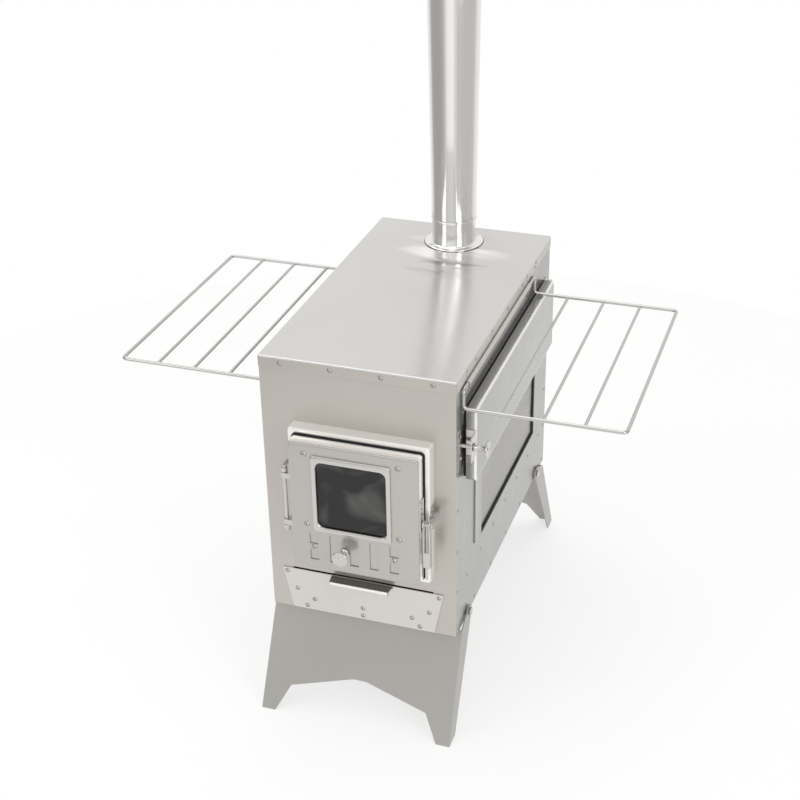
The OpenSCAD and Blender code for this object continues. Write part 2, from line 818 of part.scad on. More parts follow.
module side_door_frame() {
    color("#cac7c2") on_legs()
        side_ring(wall_x, side_frame_t, side_door_l - 4, side_door_h - 4, side_rim - 2);
}

module side_door_gasket() {
    color("#1c1b1a") on_legs()
        side_ring(wall_x + side_frame_t, side_gasket_t, side_door_l - 6, side_door_h - 6, 7);
}

module side_door_shell() {
    color("#bdbbb8") on_legs() translate([0, (side_y0 + side_y1) / 2, side_door_z]) {
        side_sheet(side_face_x - door_t, door_t) round_rect(side_door_l, side_door_h, 5);
        side_sheet(side_back_x, side_door_depth - door_t) difference() {
            round_rect(side_door_l, side_door_h, 5);
            round_rect(side_door_l - 2 * door_t, side_door_h - 2 * door_t, 5 - door_t);
        }
    }
}

module side_door_liner() {
    l = side_door_l - 2 * door_t - 1;
    h = side_door_h - 2 * door_t - 1;
    color("#85827e") on_legs() translate([0, (side_y0 + side_y1) / 2, side_door_z]) {
        side_sheet(side_back_x + 1, 1) round_rect(l, h, 3.5);
        side_sheet(side_back_x + 2, side_door_depth - door_t - 2) difference() {
            round_rect(l, h, 3.5);
            round_rect(l - 2, h - 2, 2.5);
        }
    }
}

side_knuckles_z = [side_z0 + 18, side_z1 - 18];

module side_hinge_lugs() {
    color("#c3c0bb") on_legs() for (zk = side_knuckles_z, s = [-1, 1]) difference() {
        z = zk + s * 8.4;
        union() {
            rod_z(side_hinge_x, side_hinge_y, [z - 4, z + 4], side_hinge_r + 1.6);
            span([wall_x, side_hinge_x], [side_hinge_y + 2.2, side_hinge_y + 3.8], [z - 4, z + 4]);
            span([wall_x, wall_x + 1.5], [side_hinge_y + 2.2, side_hinge_y + 14], [z - 4, z + 4]);
        }
        rod_z(side_hinge_x, side_hinge_y, [z - 10, z + 10], side_hinge_r);
    }
}

module side_hinge_pin() {
    color("#d2d0cd") on_legs() for (zk = side_knuckles_z) {
        rod_z(side_hinge_x, side_hinge_y, [zk - 13, zk + 13], side_hinge_r);
        rod_z(side_hinge_x, side_hinge_y, [zk + 12.4, zk + 14], side_hinge_r + 1.2);
    }
}

module side_hinge_knuckles() {
    color("#c3c0bb") on_legs() for (z = side_knuckles_z) difference() {
        union() {
            rod_z(side_hinge_x, side_hinge_y, [z - 4.1, z + 4.1], side_hinge_r + 1.6);
            span([side_hinge_x + side_hinge_r - 0.2, side_hinge_x + side_hinge_r + 1.6],
                 [side_y1, side_hinge_y], [z - 4.1, z + 4.1]);
        }
        rod_z(side_hinge_x, side_hinge_y, [z - 10, z + 10], side_hinge_r + pin_gap);
    }
}

// Angle on the door's front edge that carries the turning latch
module side_latch_bracket() {
    z = [side_latch_z - 17, side_latch_z + 17];
    color("#c3c0bb") on_legs() difference() {
        union() {
            span([side_back_x + 0.5, side_seat_x], [side_y0 - 1.2, side_y0], z);
            span([side_seat_x - 1.2, side_seat_x], [side_latch_y - 9, side_y0 - 1.2], z);
        }
        rod_x([side_seat_x - 10, side_seat_x + 5], side_latch_y, side_latch_z,
              side_shaft_r + pin_gap);
    }
}

// Knob, shaft and blade of the quarter-turn latch
module side_latch_knob() {
    blade_x = wall_x - wall_t - 2.2;
    color("#d2d0cd") on_legs() {
        translate([side_seat_x + 0.2, side_latch_y, side_latch_z]) rotate([0, 90, 0]) spool_knob();
        rod_x([blade_x, side_seat_x + 1], side_latch_y, side_latch_z, side_shaft_r);
        rod_x([side_seat_x - 3, side_seat_x - 1.5], side_latch_y, side_latch_z, 4.4);
        span([blade_x, blade_x + 1.8], [side_latch_y - blade_w / 2, side_latch_y + blade_w / 2],
             [side_latch_z - blade_l / 2, side_latch_z + blade_l / 2]);
    }
}

module side_latch_keeper() {
    color("#c9c7c4") on_legs() {
        side_sheet(wall_x, 1.2) difference() {
            translate([side_latch_y, side_latch_z - keeper_drop])
                square([19, 2 * keeper_half], center = true);
            translate([side_latch_y, side_latch_z]) keyhole(0.4);
        }
        for (z = [-18, 11]) rivet_right(wall_x + 1.2, side_latch_y, side_latch_z + z);
    }
}

// ---------------------------------------------------------------- side window

module side_window_sheet(x_in, t, grow) {
    side_sheet(x_in, t) translate([side_win_y, side_win_z]) difference() {
        square([side_window_l + 2 * side_lap, side_window_h + 2 * side_lap], center = true);
        if (grow != 0) square([side_window_l + grow, side_window_h + grow], center = true);
    }
}

module side_window_gasket() {
    color("#1c1b1a") on_legs() side_window_sheet(side_glass_x, 2, -7);
}

module side_window_glass() {
    color("#55534f") on_legs() side_window_sheet(side_glass_x - glass_t, glass_t, 0);
}

module side_window_retainer() {
    x = side_glass_x - glass_t - 1.2;
    color("#85827e") on_legs() {
        side_window_sheet(x, 1.2, -8);
        for (s = [-1, 1]) translate([0, side_win_y + s * (side_window_l / 2 + side_lap), side_win_z])
            span([x, wall_x - wall_t], s > 0 ? [0.3, 1.5] : [-1.5, -0.3], [-14, 14]);
        for (s = [-1, 1]) translate([0, side_win_y + s * (side_window_l / 2 + side_lap), side_win_z])
            span([x, x + 1.2], s > 0 ? [0, 1.5] : [-1.5, 0], [-14, 14]);
    }
}

// Upright strip that covers the seam of the side wall in front of the window
module side_window_strip() {
    y = front_y + side_window_in - 34;
    color("#cac7c2") on_legs()
        span([wall_x, wall_x + 2], [y, y + 12], [side_window_z + 7, side_z0 - 2]);
}

// ---------------------------------------------------------------- racks

// Strip on the right wall whose upper edge is curled round the rack's pins
module rack_rail() {
    bores = [[rail_y[0] - 1, rack_y0 + rack_pin_l + 2], [rack_y1 - rack_pin_l - 2, rail_y[1] + 1]];
    difference() {
        union() {
            rod_y(rack_pivot_x, rail_y, rack_pivot_z, rail_r);
            span([wall_x, wall_x + 1.2], rail_y, [rack_pivot_z - 17, rack_pivot_z]);
        }
        span([wall_x - 10, wall_x], [rail_y[0] - 1, rail_y[1] + 1],
             [rack_pivot_z - 20, rack_pivot_z + 10]);
        for (b = bores) rod_y(rack_pivot_x, b, rack_pivot_z, wire_r + pin_gap);
    }
}

module right_rack_rail() { color("#cfcdca") on_legs() rack_rail(); }
module left_rack_rail() { color("#cfcdca") on_legs() mirror([1, 0, 0]) rack_rail(); }

module rack_rail_rivets() {
    color("#8d8b88") on_legs() for (i = [0:4]) {
        y = rail_y[0] + (rail_y[1] - rail_y[0]) * (0.06 + 0.22 * i);
        rivet_right(wall_x + 1.2, y, rack_pivot_z - 11);
        rivet_left(-wall_x - 1.2, y, rack_pivot_z - 11);
    }
}

// Quarter bend of the wire in the plane of X and Y, about the origin
module wire_bend() {
    rotate_extrude(angle = 90, $fn = 48) translate([rack_bend, 0]) circle(wire_r, $fn = 24);
}

// One arm: pin, drop and reach, ending where the bend to the outer wire begins; dir is the
// side on which the pin lies
module rack_arm(y, dir) {
    b = rack_bend;
    pin = dir > 0 ? [y + b, y + rack_pin_l] : [y - rack_pin_l, y - b];
    rod_y(rack_pivot_x, pin, rack_pivot_z, wire_r);
    translate([rack_pivot_x, y + dir * b, rack_pivot_z - b]) rotate([0, 90, 0])
        rotate([0, 0, dir > 0 ? 180 : 90]) wire_bend();
    rod_z(rack_pivot_x, y, [rack_z + b, rack_pivot_z - b], wire_r);
    translate([rack_pivot_x + b, y, rack_z + b]) rotate([90, 0, 0]) rotate([0, 0, 180])
        wire_bend();
    rod_x([rack_pivot_x + b, rack_out_x - b], y, rack_z, wire_r);
    translate([rack_out_x - b, y + dir * b, rack_z]) rotate([0, 0, dir > 0 ? -90 : 0])
        wire_bend();
}

module rack() {
    rack_arm(rack_y0, 1);
    rack_arm(rack_y1, -1);
    rod_y(rack_out_x, [rack_y0 + rack_bend, rack_y1 - rack_bend], rack_z, wire_r);
    for (i = [1:rack_rods])
        rod_y(body_w / 2 + rack_reach * i / (rack_rods + 1), [rack_y0, rack_y1], rack_z,
              wire_r - 0.3);
}

module right_rack() { color("#c4c3c1") on_legs() rack(); }
module left_rack() { color("#c4c3c1") on_legs() mirror([1, 0, 0]) rack(); }

// ---------------------------------------------------------------- ash drawer

drawer_y0 = -wall_y - 0.2;

module ash_drawer_tray() {
    x = drawer_w / 2;
    z0 = drawer_gap_z;
    color("#9b9894") on_legs() difference() {
        span([-x, x], [drawer_y0, drawer_y0 + drawer_l], [z0, z0 + drawer_h]);
        span([-x + 1, x - 1], [drawer_y0 + 1, drawer_y0 + drawer_l - 1], [z0 + 1, z0 + drawer_h + 1]);
    }
}

// Front plate of the drawer, with a pull folded out of its upper edge
module ash_drawer_front() {
    a = drawer_front_w / 2;
    b = a - drawer_front_taper;
    z0 = drawer_front_z;
    z1 = z0 + drawer_front_h;
    color("#cdc8c2") on_legs() {
        front_sheet(drawer_y0, 1.5) polygon([[-b, z0], [b, z0], [a, z1], [-a, z1]]);
        span([-pull_w / 2, pull_w / 2], [drawer_y0 - pull_out, drawer_y0 - 1.5], [z1 - 1.5, z1]);
        span([-pull_w / 2, pull_w / 2], [drawer_y0 - pull_out, drawer_y0 - pull_out + 1.5],
             [z1 - 4.5, z1 - 1.5]);
    }
}

drawer_rivets = [[-89, 31], [89, 31], [-66, 18], [66, 18], [-76.5, 6.5], [76.5, 6.5],
                 [0, 18], [0, 6.5], [-102, 56], [102, 56]];

module ash_drawer_rivets() {
    color("#8d8b88") on_legs() for (p = drawer_rivets)
        rivet_front(p[0], drawer_y0 - 1.5, p[1]);
}

// ---------------------------------------------------------------- legs

// Side flange of a leg in Y and Z, from the tip of the foot: it widens upwards and ends in
// an ear round the pivot
module leg_flange_shape() {
    py = foot_out + pivot_in;
    pz = pivot_z / cos(side_lean);
    top_y = leg_rise * tan(leg_lean);
    polygon([[0, 0], [flange_foot, 0], [py + ear_r * 0.87, pz - ear_r * 0.5],
             [py, pz], [py - ear_r * 0.5, pz + ear_r * 0.87], [top_y, leg_rise]]);
    translate([py, pz]) circle(ear_r);
}

// Inner and outer face of a leg's flange in X at a height above the ground
function flange_in(z) = foot_half - leg_t - z * tan(side_lean);
function flange_out(z) = flange_in(z) + leg_t / cos(side_lean);

// Front leg: a leaning plate with an arch, and a flange along each side outside the walls
module leg() {
    y0 = front_y - foot_out;
    over = 4;
    len = leg_rise / cos(leg_lean);
    down = 1 / cos(leg_lean);
    difference() {
        translate([0, y0, 0]) rotate([-leg_lean, 0, 0]) translate([0, leg_t, 0])
            rotate([90, 0, 0]) linear_extrude(leg_t) difference() {
                polygon([[-foot_half, -over], [foot_half, -over], [leg_top_half, len],
                         [-leg_top_half, len]]);
                polygon([
                    [-foot_half + foot_w, -over - 1], [-foot_half + foot_w, 0],
                    [-foot_half + 2 * foot_w, arch_side_h * down], [-9, arch_mid_h * down],
                    [9, arch_mid_h * down], [foot_half - 2 * foot_w, arch_side_h * down],
                    [foot_half - foot_w, 0], [foot_half - foot_w, -over - 1]
                ]);
            }
        span([-foot_half - 1, foot_half + 1], [y0 - 50, y0 + 50], [-20, 0]);
    }
    for (s = [-1, 1]) mirror([s > 0 ? 0 : 1, 0, 0]) difference() {
        translate([foot_half - leg_t, y0, 0]) rotate([0, -side_lean, 0])
            rotate([90, 0, 90]) linear_extrude(leg_t) leg_flange_shape();
        rod_x([flange_in(pivot_z) - 5, flange_out(pivot_z) + 5], front_y + pivot_in, pivot_z,
              pivot_r + pin_gap);
    }
}

module front_leg() { color("#acaaa5") leg(); }
module rear_leg() { color("#acaaa5") mirror([0, 1, 0]) leg(); }

// Shouldered screws through the side walls: nut, spacer, shank and head
module leg_pivot_screws() {
    spacer_x = flange_in(pivot_z + screw_r_out) - run_gap;
    head_x = flange_out(pivot_z - screw_r_out) + run_gap;
    color("#8d8b88") for (sx = [0, 1], sy = [-1, 1]) mirror([sx, 0, 0]) {
        y = sy * (body_d / 2 - pivot_in);
        rod_x([wall_x - wall_t - 3, wall_x - wall_t], y, pivot_z, pivot_r + 1);
        rod_x([wall_x - wall_t, head_x + 1], y, pivot_z, pivot_r);
        rod_x([wall_x, spacer_x], y, pivot_z, screw_r_out);
        rod_x([head_x, head_x + 2], y, pivot_z, screw_r_out);
    }
}

front_wall();
rear_wall();
left_wall();
right_wall();
floor_plate();
top_plate();
top_plate_rivets();
side_wall_rivets();
flue_collar();
flue_collar_rivets();
chimney_pipe();
grate();
grate_rails();
drawer_runners();
front_door_collar();
front_door_gasket();
front_door_shell();
front_door_liner();
front_glass_frame();
front_glass();
front_glass_gasket();
front_glass_retainer();
front_door_screws();
front_hinge_lugs();
front_hinge_pin();
front_hinge_knuckles();
air_slider();
air_knob();
slider_guide_screws();
front_latch_bracket();
front_latch_handle();
front_latch_keeper();
side_door_frame();
side_door_gasket();
side_door_shell();
side_door_liner();
side_hinge_lugs();
side_hinge_pin();
side_hinge_knuckles();
side_latch_bracket();
side_latch_knob();
side_latch_keeper();
side_window_glass();
side_window_gasket();
side_window_retainer();
side_window_strip();
left_rack_rail();
right_rack_rail();
left_rack();
right_rack();
rack_rail_rivets();
ash_drawer_tray();
ash_drawer_front();
ash_drawer_rivets();
front_leg();
rear_leg();
leg_pivot_screws();
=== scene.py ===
"""Looks of the folding tent stove: finishes, detailed pieces, studio and camera.

Lengths are in millimetres and z counts from the ground, as in the part's source. A mesh is
put in metres when it becomes a Blender object. A panel's frame (u, v, w) has u to the right
and v upwards on the panel, and w out of its face. A profile is a list of distances and
heights.
"""

import sys

import json
import logging
import math
from dataclasses import dataclass, field
from enum import Enum
from typing import Callable, Optional, Sequence

import bmesh
import bpy
import numpy as np
from mathutils import Matrix, Vector
from mathutils.geometry import tessellate_polygon


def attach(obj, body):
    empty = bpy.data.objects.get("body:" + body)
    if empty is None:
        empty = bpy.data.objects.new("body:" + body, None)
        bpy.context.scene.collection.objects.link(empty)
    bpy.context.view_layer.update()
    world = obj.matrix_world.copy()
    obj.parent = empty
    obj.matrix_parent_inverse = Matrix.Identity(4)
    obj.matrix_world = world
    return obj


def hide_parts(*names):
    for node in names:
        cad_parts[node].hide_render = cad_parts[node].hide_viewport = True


log = logging.getLogger("stove")
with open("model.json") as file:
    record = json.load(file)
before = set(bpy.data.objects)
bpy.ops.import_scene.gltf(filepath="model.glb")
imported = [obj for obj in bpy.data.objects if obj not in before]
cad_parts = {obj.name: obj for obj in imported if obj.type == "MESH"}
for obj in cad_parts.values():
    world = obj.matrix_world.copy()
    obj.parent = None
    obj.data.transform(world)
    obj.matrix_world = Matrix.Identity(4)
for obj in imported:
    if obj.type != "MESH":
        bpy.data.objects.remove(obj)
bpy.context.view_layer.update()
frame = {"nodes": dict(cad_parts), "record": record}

Array = np.ndarray
Colour = tuple[float, float, float]
Point = tuple[float, float, float]
Profile = list[tuple[float, float]]
Socket = bpy.types.NodeSocket

MM = 0.001
FULL_TURN = 2 * np.pi
FINE_ROUND = 96

# ------------------------------------------------------------------ the stove's sizes

LEG_H = 139.0
BODY_W = 250.0
BODY_D = 455.0
BODY_H = 364.0
SHEET_T = 1.2
FRONT_Y = -BODY_D / 2
REAR_Y = BODY_D / 2
WALL_X = BODY_W / 2 - SHEET_T
WALL_Y = BODY_D / 2 - SHEET_T
LID_TOP = LEG_H + BODY_H


class Grain(Enum):
    """Direction in which a sheet was rolled, as the noise scale of its fine lines."""

    ALONG_X = (14.0, 900.0, 900.0)
    ALONG_Y = (900.0, 14.0, 900.0)
    ALONG_Z = (900.0, 900.0, 14.0)
    NONE = (350.0, 350.0, 350.0)


class Turn(Enum):
    """Panel frames: the world directions of u, v and w, one row each."""

    FRONT = ((1.0, 0.0, 0.0), (0.0, 0.0, 1.0), (0.0, -1.0, 0.0))
    REAR = ((-1.0, 0.0, 0.0), (0.0, 0.0, 1.0), (0.0, 1.0, 0.0))
    RIGHT = ((0.0, 1.0, 0.0), (0.0, 0.0, 1.0), (1.0, 0.0, 0.0))
    LEFT = ((0.0, -1.0, 0.0), (0.0, 0.0, 1.0), (-1.0, 0.0, 0.0))
    UP = ((1.0, 0.0, 0.0), (0.0, 1.0, 0.0), (0.0, 0.0, 1.0))

    def place(self, points: Array, origin: Point) -> Array:
        """World points of local (u, v, w) points about an origin."""
        return np.asarray(points, float) @ np.array(self.value) + np.array(origin, float)


SIDES = ((1, Turn.RIGHT), (-1, Turn.LEFT))

# CAD nodes that keep their shape and only get rounded edges: node, body, rounding.
SOFTENED = (
    ("front_hinge_lugs", "stove_body", 0.4), ("front_hinge_knuckles", "front_door", 0.4),
    ("front_latch_bracket", "front_door", 0.3), ("front_latch_keeper", "stove_body", 0.3),
    ("side_door_frame", "stove_body", 0.3), ("side_hinge_lugs", "stove_body", 0.3),
    ("side_hinge_knuckles", "side_door", 0.3), ("side_latch_bracket", "side_door", 0.3),
    ("side_latch_keeper", "stove_body", 0.25), ("side_window_strip", "stove_body", 0.5),
    ("right_rack_rail", "stove_body", 0.3), ("left_rack_rail", "stove_body", 0.3),
    ("front_leg", "front_leg", 0.4), ("rear_leg", "rear_leg", 0.4),
    ("leg_pivot_screws", "stove_body", 0.4),
)

# ------------------------------------------------------------------ shapes on grids


def xyz(x: Array, y: Array, z: Array) -> Array:
    """Points along a new last axis, from coordinates that are broadcast together."""
    return np.stack(np.broadcast_arrays(x, y, z), axis=-1)


def unit(vectors: Array) -> Array:
    """Vectors shortened to length 1."""
    return vectors / np.linalg.norm(vectors, axis=-1, keepdims=True)


def round_angles(count: int) -> Array:
    """Evenly spaced angles round a full turn."""
    return np.linspace(0, FULL_TURN, count, endpoint=False)


@dataclass
class Shape:
    """A mesh in the making: points in millimetres and faces as rows of indices."""

    points: Array
    faces: list[Array]

    @staticmethod
    def grid(points: Array, wrap_rows: bool = False, wrap_cols: bool = True) -> "Shape":
        """Surface over a grid of points.

        Face (i, j) joins the points (i, j), (i, j+1), (i+1, j+1) and (i+1, j).

        Args:
            points: the points, by row, column and coordinate.
            wrap_rows: whether the last row joins the first.
            wrap_cols: whether the last column joins the first.

        Returns:
            The shape, one quad per face.
        """
        rows, cols = points.shape[:2]
        i, j = np.meshgrid(np.arange(rows - 1 + wrap_rows), np.arange(cols - 1 + wrap_cols),
                           indexing="ij")
        i2, j2 = (i + 1) % rows, (j + 1) % cols
        quads = np.stack([i * cols + j, i * cols + j2, i2 * cols + j2, i2 * cols + j], axis=-1)
        return Shape(points.reshape(-1, 3), [quads.reshape(-1, 4)])

    @staticmethod
    def joined(shapes: Sequence["Shape"]) -> "Shape":
        """One shape that holds all the given ones, their indices shifted in turn."""
        starts = np.cumsum([0] + [len(s.points) for s in shapes[:-1]])
        faces = [f + k for s, k in zip(shapes, starts) for f in s.faces]
        return Shape(np.concatenate([s.points for s in shapes]), faces)

    def moved(self, turn: Turn, origin: Point) -> "Shape":
        """The same shape put from a local frame into the world."""
        return Shape(turn.place(self.points, origin), self.faces)

    def repeated(self, centres: Array, turn: Turn) -> "Shape":
        """The shape at each of many centres, all at once by broadcasting."""
        local = turn.place(self.points, (0, 0, 0))
        centres = np.asarray(centres, float).reshape(-1, 1, 3)
        shift = len(local) * np.arange(len(centres))[:, None, None]
        return Shape((centres + local).reshape(-1, 3), [(self.faces[0] + shift).reshape(-1, 4)])


def revolve(profile: Profile, segments: int = 48,
            swell: Optional[Callable[[Array], Array]] = None) -> Shape:
    """Surface of revolution about w.

    The point at profile place k and angle a is ((r_k + swell) cos a, (r_k + swell) sin a,
    z_k), where swell is a function of the angle.

    Args:
        profile: radius and height of each profile point.
        segments: number of points round a turn.
        swell: radius added at an angle, or None.

    Returns:
        The shape, its poles closed later when doubles are merged.
    """
    r, z = np.array(profile, float).T[:, :, None]
    a = round_angles(segments)
    radius = r + (swell(a) if swell else 0.0)
    return Shape.grid(xyz(radius * np.cos(a), radius * np.sin(a), z))


def arc(centre: tuple[float, float], radius: float, start: float, end: float,
        count: int) -> Profile:
    """Points of a circular arc between two angles in degrees, both ends included."""
    a = np.radians(np.linspace(start, end, count))
    return list(zip(centre[0] + radius * np.cos(a), centre[1] + radius * np.sin(a)))


def rounded_loop(width: float, height: float, radius: float,
                 per_corner: int = 9) -> tuple[Array, Array]:
    """Closed rectangle with round corners, about its middle.

    Args:
        width: size along u.
        height: size along v.
        radius: corner radius.
        per_corner: points on one corner, over a quarter turn.

    Returns:
        The points and their outward unit normals, two columns each.
    """
    quarter = np.linspace(0, np.pi / 2, per_corner)
    a = (np.arange(4)[:, None] * np.pi / 2 + quarter).ravel()
    side = np.repeat(np.array([[1, 1], [-1, 1], [-1, -1], [1, -1]], float), per_corner, axis=0)
    normal = np.stack([np.cos(a), np.sin(a)], axis=-1)
    centre = side * (np.array([width, height]) / 2 - radius)
    return centre + radius * normal, normal


def carry(profile: Profile, loop: Array, normals: Array, closed: bool = False) -> Shape:
    """A profile carried along a closed flat loop.

    The point at loop place m and profile place k is loop_m + out_k * normal_m in the
    plane, at height up_k.

    Args:
        profile: distance outwards from the loop and height of each profile point.
        loop: points of the loop in u and v.
        normals: outward unit normals of the loop.
        closed: whether the last profile point joins the first.

    Returns:
        The shape in local coordinates.
    """
    out, up = np.array(profile, float).T[:, :, None]
    flat = loop + out[..., None] * normals
    return Shape.grid(xyz(flat[..., 0], flat[..., 1], up), wrap_rows=closed)


def loft(inner: Array, outer: Array, rows: Sequence[tuple[float, float]]) -> Shape:
    """Closed ring between two flat loops with as many points each.

    The point at row (t, w) and loop place m is (1 - t) inner_m + t outer_m, at height w.

    Args:
        inner: points of the inner loop.
        outer: points of the outer loop.
        rows: share from inner to outer and height of each row; the last joins the first.

    Returns:
        The ring in local coordinates.
    """
    t, w = np.array(rows, float).T[:, :, None]
    flat = (1 - t)[..., None] * inner + t[..., None] * outer
    return Shape.grid(xyz(flat[..., 0], flat[..., 1], w), wrap_rows=True)


def plate(outer: Array, holes: Sequence[Array], w: float) -> Shape:
    """Flat plate at height w inside an outer loop, with holes, filled by triangles."""
    loops = [outer, *holes]
    triangles = tessellate_polygon([[Vector((*p, 0.0)) for p in loop] for loop in loops])
    return Shape(xyz(*np.concatenate(loops).T, w), [np.array(triangles, int)])


def bent_path(corners: Sequence[Point], radius: float, per_bend: int = 9) -> Array:
    """Polyline through corner points, each inner corner rounded by an arc.

    A rounded corner's points are centre + radius * (d1 sin a - n cos a), where d1 is the
    direction before the bend and n points from the path to the bend's centre.

    Args:
        corners: the path's corner points.
        radius: bend radius.
        per_bend: points on one bend.

    Returns:
        The points of the path.
    """
    p = np.array(corners, float)
    parts = [p[:1]]
    for before, at, after in zip(p[:-2], p[1:-1], p[2:]):
        d1, d2 = unit(at - before), unit(after - at)
        turn = math.acos(float(np.clip(d1 @ d2, -1, 1)))
        inward = (d2 - d1 * (d1 @ d2)) / math.sin(turn)
        centre = at - d1 * radius * math.tan(turn / 2) + inward * radius
        a = np.linspace(0, turn, per_bend)[:, None]
        parts.append(centre + radius * (d1 * np.sin(a) - inward * np.cos(a)))
    parts.append(p[-1:])
    return np.concatenate(parts)


def wire(path: Array, radius: float, sides: int = 14) -> Shape:
    """Round wire along an open path.

    At each path point the ring is p + radius (n cos a + b sin a), where b is the tangent
    crossed with a fixed slanting direction, and n is b crossed with the tangent. The ends
    close on a point a third of the radius beyond the path.

    Args:
        path: points of the wire's centre line.
        radius: radius of the wire.
        sides: points round the wire.

    Returns:
        The wire's surface.
    """
    ahead = np.roll(path, -1, axis=0) - path
    back = path - np.roll(path, 1, axis=0)
    tangent = unit(ahead) + unit(back)
    tangent[0], tangent[-1] = ahead[0], back[-1]
    tangent = unit(tangent)
    b = unit(np.cross(tangent, np.array([0.48, 0.62, 0.62])))
    n = np.cross(b, tangent)
    a = round_angles(sides)[:, None]
    ring = np.cos(a) * n[:, None, :] + np.sin(a) * b[:, None, :]
    grow = radius * np.array([0.0, 0.6, 1.0])[:, None, None]
    step = radius * np.array([0.33, 0.2, 0.0])[:, None, None]
    start = path[0] - tangent[0] * step + grow * ring[0]
    end = path[-1] + tangent[-1] * step[::-1] + grow[::-1] * ring[-1]
    return Shape.grid(np.concatenate([start, path[1:-1, None, :] + radius * ring[1:-1], end]))


def rounded_bar(size: Point, radius: float, place: Point) -> Shape:
    """Bar with rounded edges: each eighth of a small ball, moved out to its corner.

    Args:
        size: full sizes along the three axes.
        radius: radius of the rounded edges.
        place: world point of the bar's middle.

    Returns:
        The bar, along the world's axes.
    """
    half = np.array(size) / 2
    around = np.linspace(-np.pi, np.pi, 33)[:-1]
    up = np.linspace(-np.pi / 2, np.pi / 2, 17)[:, None]
    ball = xyz(np.cos(up) * np.cos(around), np.cos(up) * np.sin(around), np.sin(up))
    soft = min(radius, float(half.min()) * 0.98)
    return Shape.grid(np.sign(np.round(ball, 9)) * (half - soft) + ball * soft + place)


def dome_heads(centres: Array, turn: Turn, radius: float, height: float,
               segments: int = 14) -> Shape:
    """Domed heads with a small dimple, one at each centre, standing along w.

    Args:
        centres: world points of the heads' feet.
        turn: frame whose w is the heads' axis.
        radius: radius of a head.
        height: height of a head.
        segments: points round a head.

    Returns:
        All the heads as one shape.
    """
    a = np.radians(np.linspace(0, 68, 5))
    dome = zip(np.sin(a) * radius, height * np.cos(a))
    profile = [(0.0, height * 0.35), (radius * 0.36, height * 0.4), (radius * 0.4, height * 0.93)]
    profile += [(r, z) for r, z in dome if r > radius * 0.45]
    profile += [(radius, height * 0.12), (radius, -0.1)]
    return revolve(profile[::-1], segments).repeated(centres, turn)


def rivet_pins(centres: Array, turn: Turn, radius: float, height: float) -> Shape:
    """Broken-off pins in the dimples of heads, and thin rings round their feet; their dark finish
    paints the shade in the dimples and round the feet.

    Args:
        centres: world points of the heads' feet.
        turn: frame whose w is the heads' axis.
        radius: radius of a head.
        height: height of a head.

    Returns:
        All the pins and joints as one shape.
    """
    pin_r, low, high = radius * 0.36, radius - 0.3, radius + 0.6
    pin = revolve([(0.0, height * 0.8), (pin_r, height * 0.74), (pin_r, 0.0), (0.0, 0.0)], 10)
    # Painted shade: a thin ring round each head's foot.
    shade_ring = revolve([(high, 0.0), (radius + 0.5, 0.1), (low, 0.1), (low, 0.0), (high, 0.0)], 18)
    return Shape.joined([pin.repeated(centres, turn), shade_ring.repeated(centres, turn)])


def woven_tape(width: float, height: float, corner: float, foot: float, top: float) -> Shape:
    """Closed frame of tape, whose section is a flattened half round 7 mm wide.

    Args:
        width: outer size along u.
        height: outer size along v.
        corner: corner radius.
        foot: height of the tape's lower side.
        top: height of its crown.

    Returns:
        The tape in local coordinates.
    """
    half, crown = 3.5, 0.8
    a = np.linspace(0.1, np.pi - 0.1, 8)
    profile = [(0.0, foot), (0.0, top - crown)]
    profile += [*zip(-half + half * np.cos(a), top - crown + crown * np.sin(a))]
    return carry([*profile, (-2 * half, foot)], *rounded_loop(width, height, corner), True)


def spool(length: float, disc_r: float, stem: float, stem_r: float) -> Shape:
    """Turned knob along w: seat, waisted neck and a dished disc, with a stem behind it.

    Args:
        length: from the seat to the disc's face.
        disc_r: radius of the disc.
        stem: length of the stem behind the seat.
        stem_r: radius of the stem.

    Returns:
        The revolved knob, its seat at w = 0.
    """
    t = np.linspace(0, 1, 9)
    profile = [(0.0, -stem), (stem_r, -stem), (stem_r, 0.0), (4.6, 0.0)]
    profile += arc((4.6, 0.9), 0.9, -90, 90, 6)
    profile += [(2.7 + 1.6 * (2 * s - 1) ** 4, 2.2 + s * (length - 6.2)) for s in t]
    profile += arc((disc_r - 1.2, length - 1.5), 1.2, -80, 80, 8)
    profile += [(disc_r - 2.6, length - 0.35), (disc_r * 0.55, length - 0.75),
                (2.2, length - 0.8), (1.8, length - 0.3), (0.0, length - 0.2)]
    return revolve(profile)


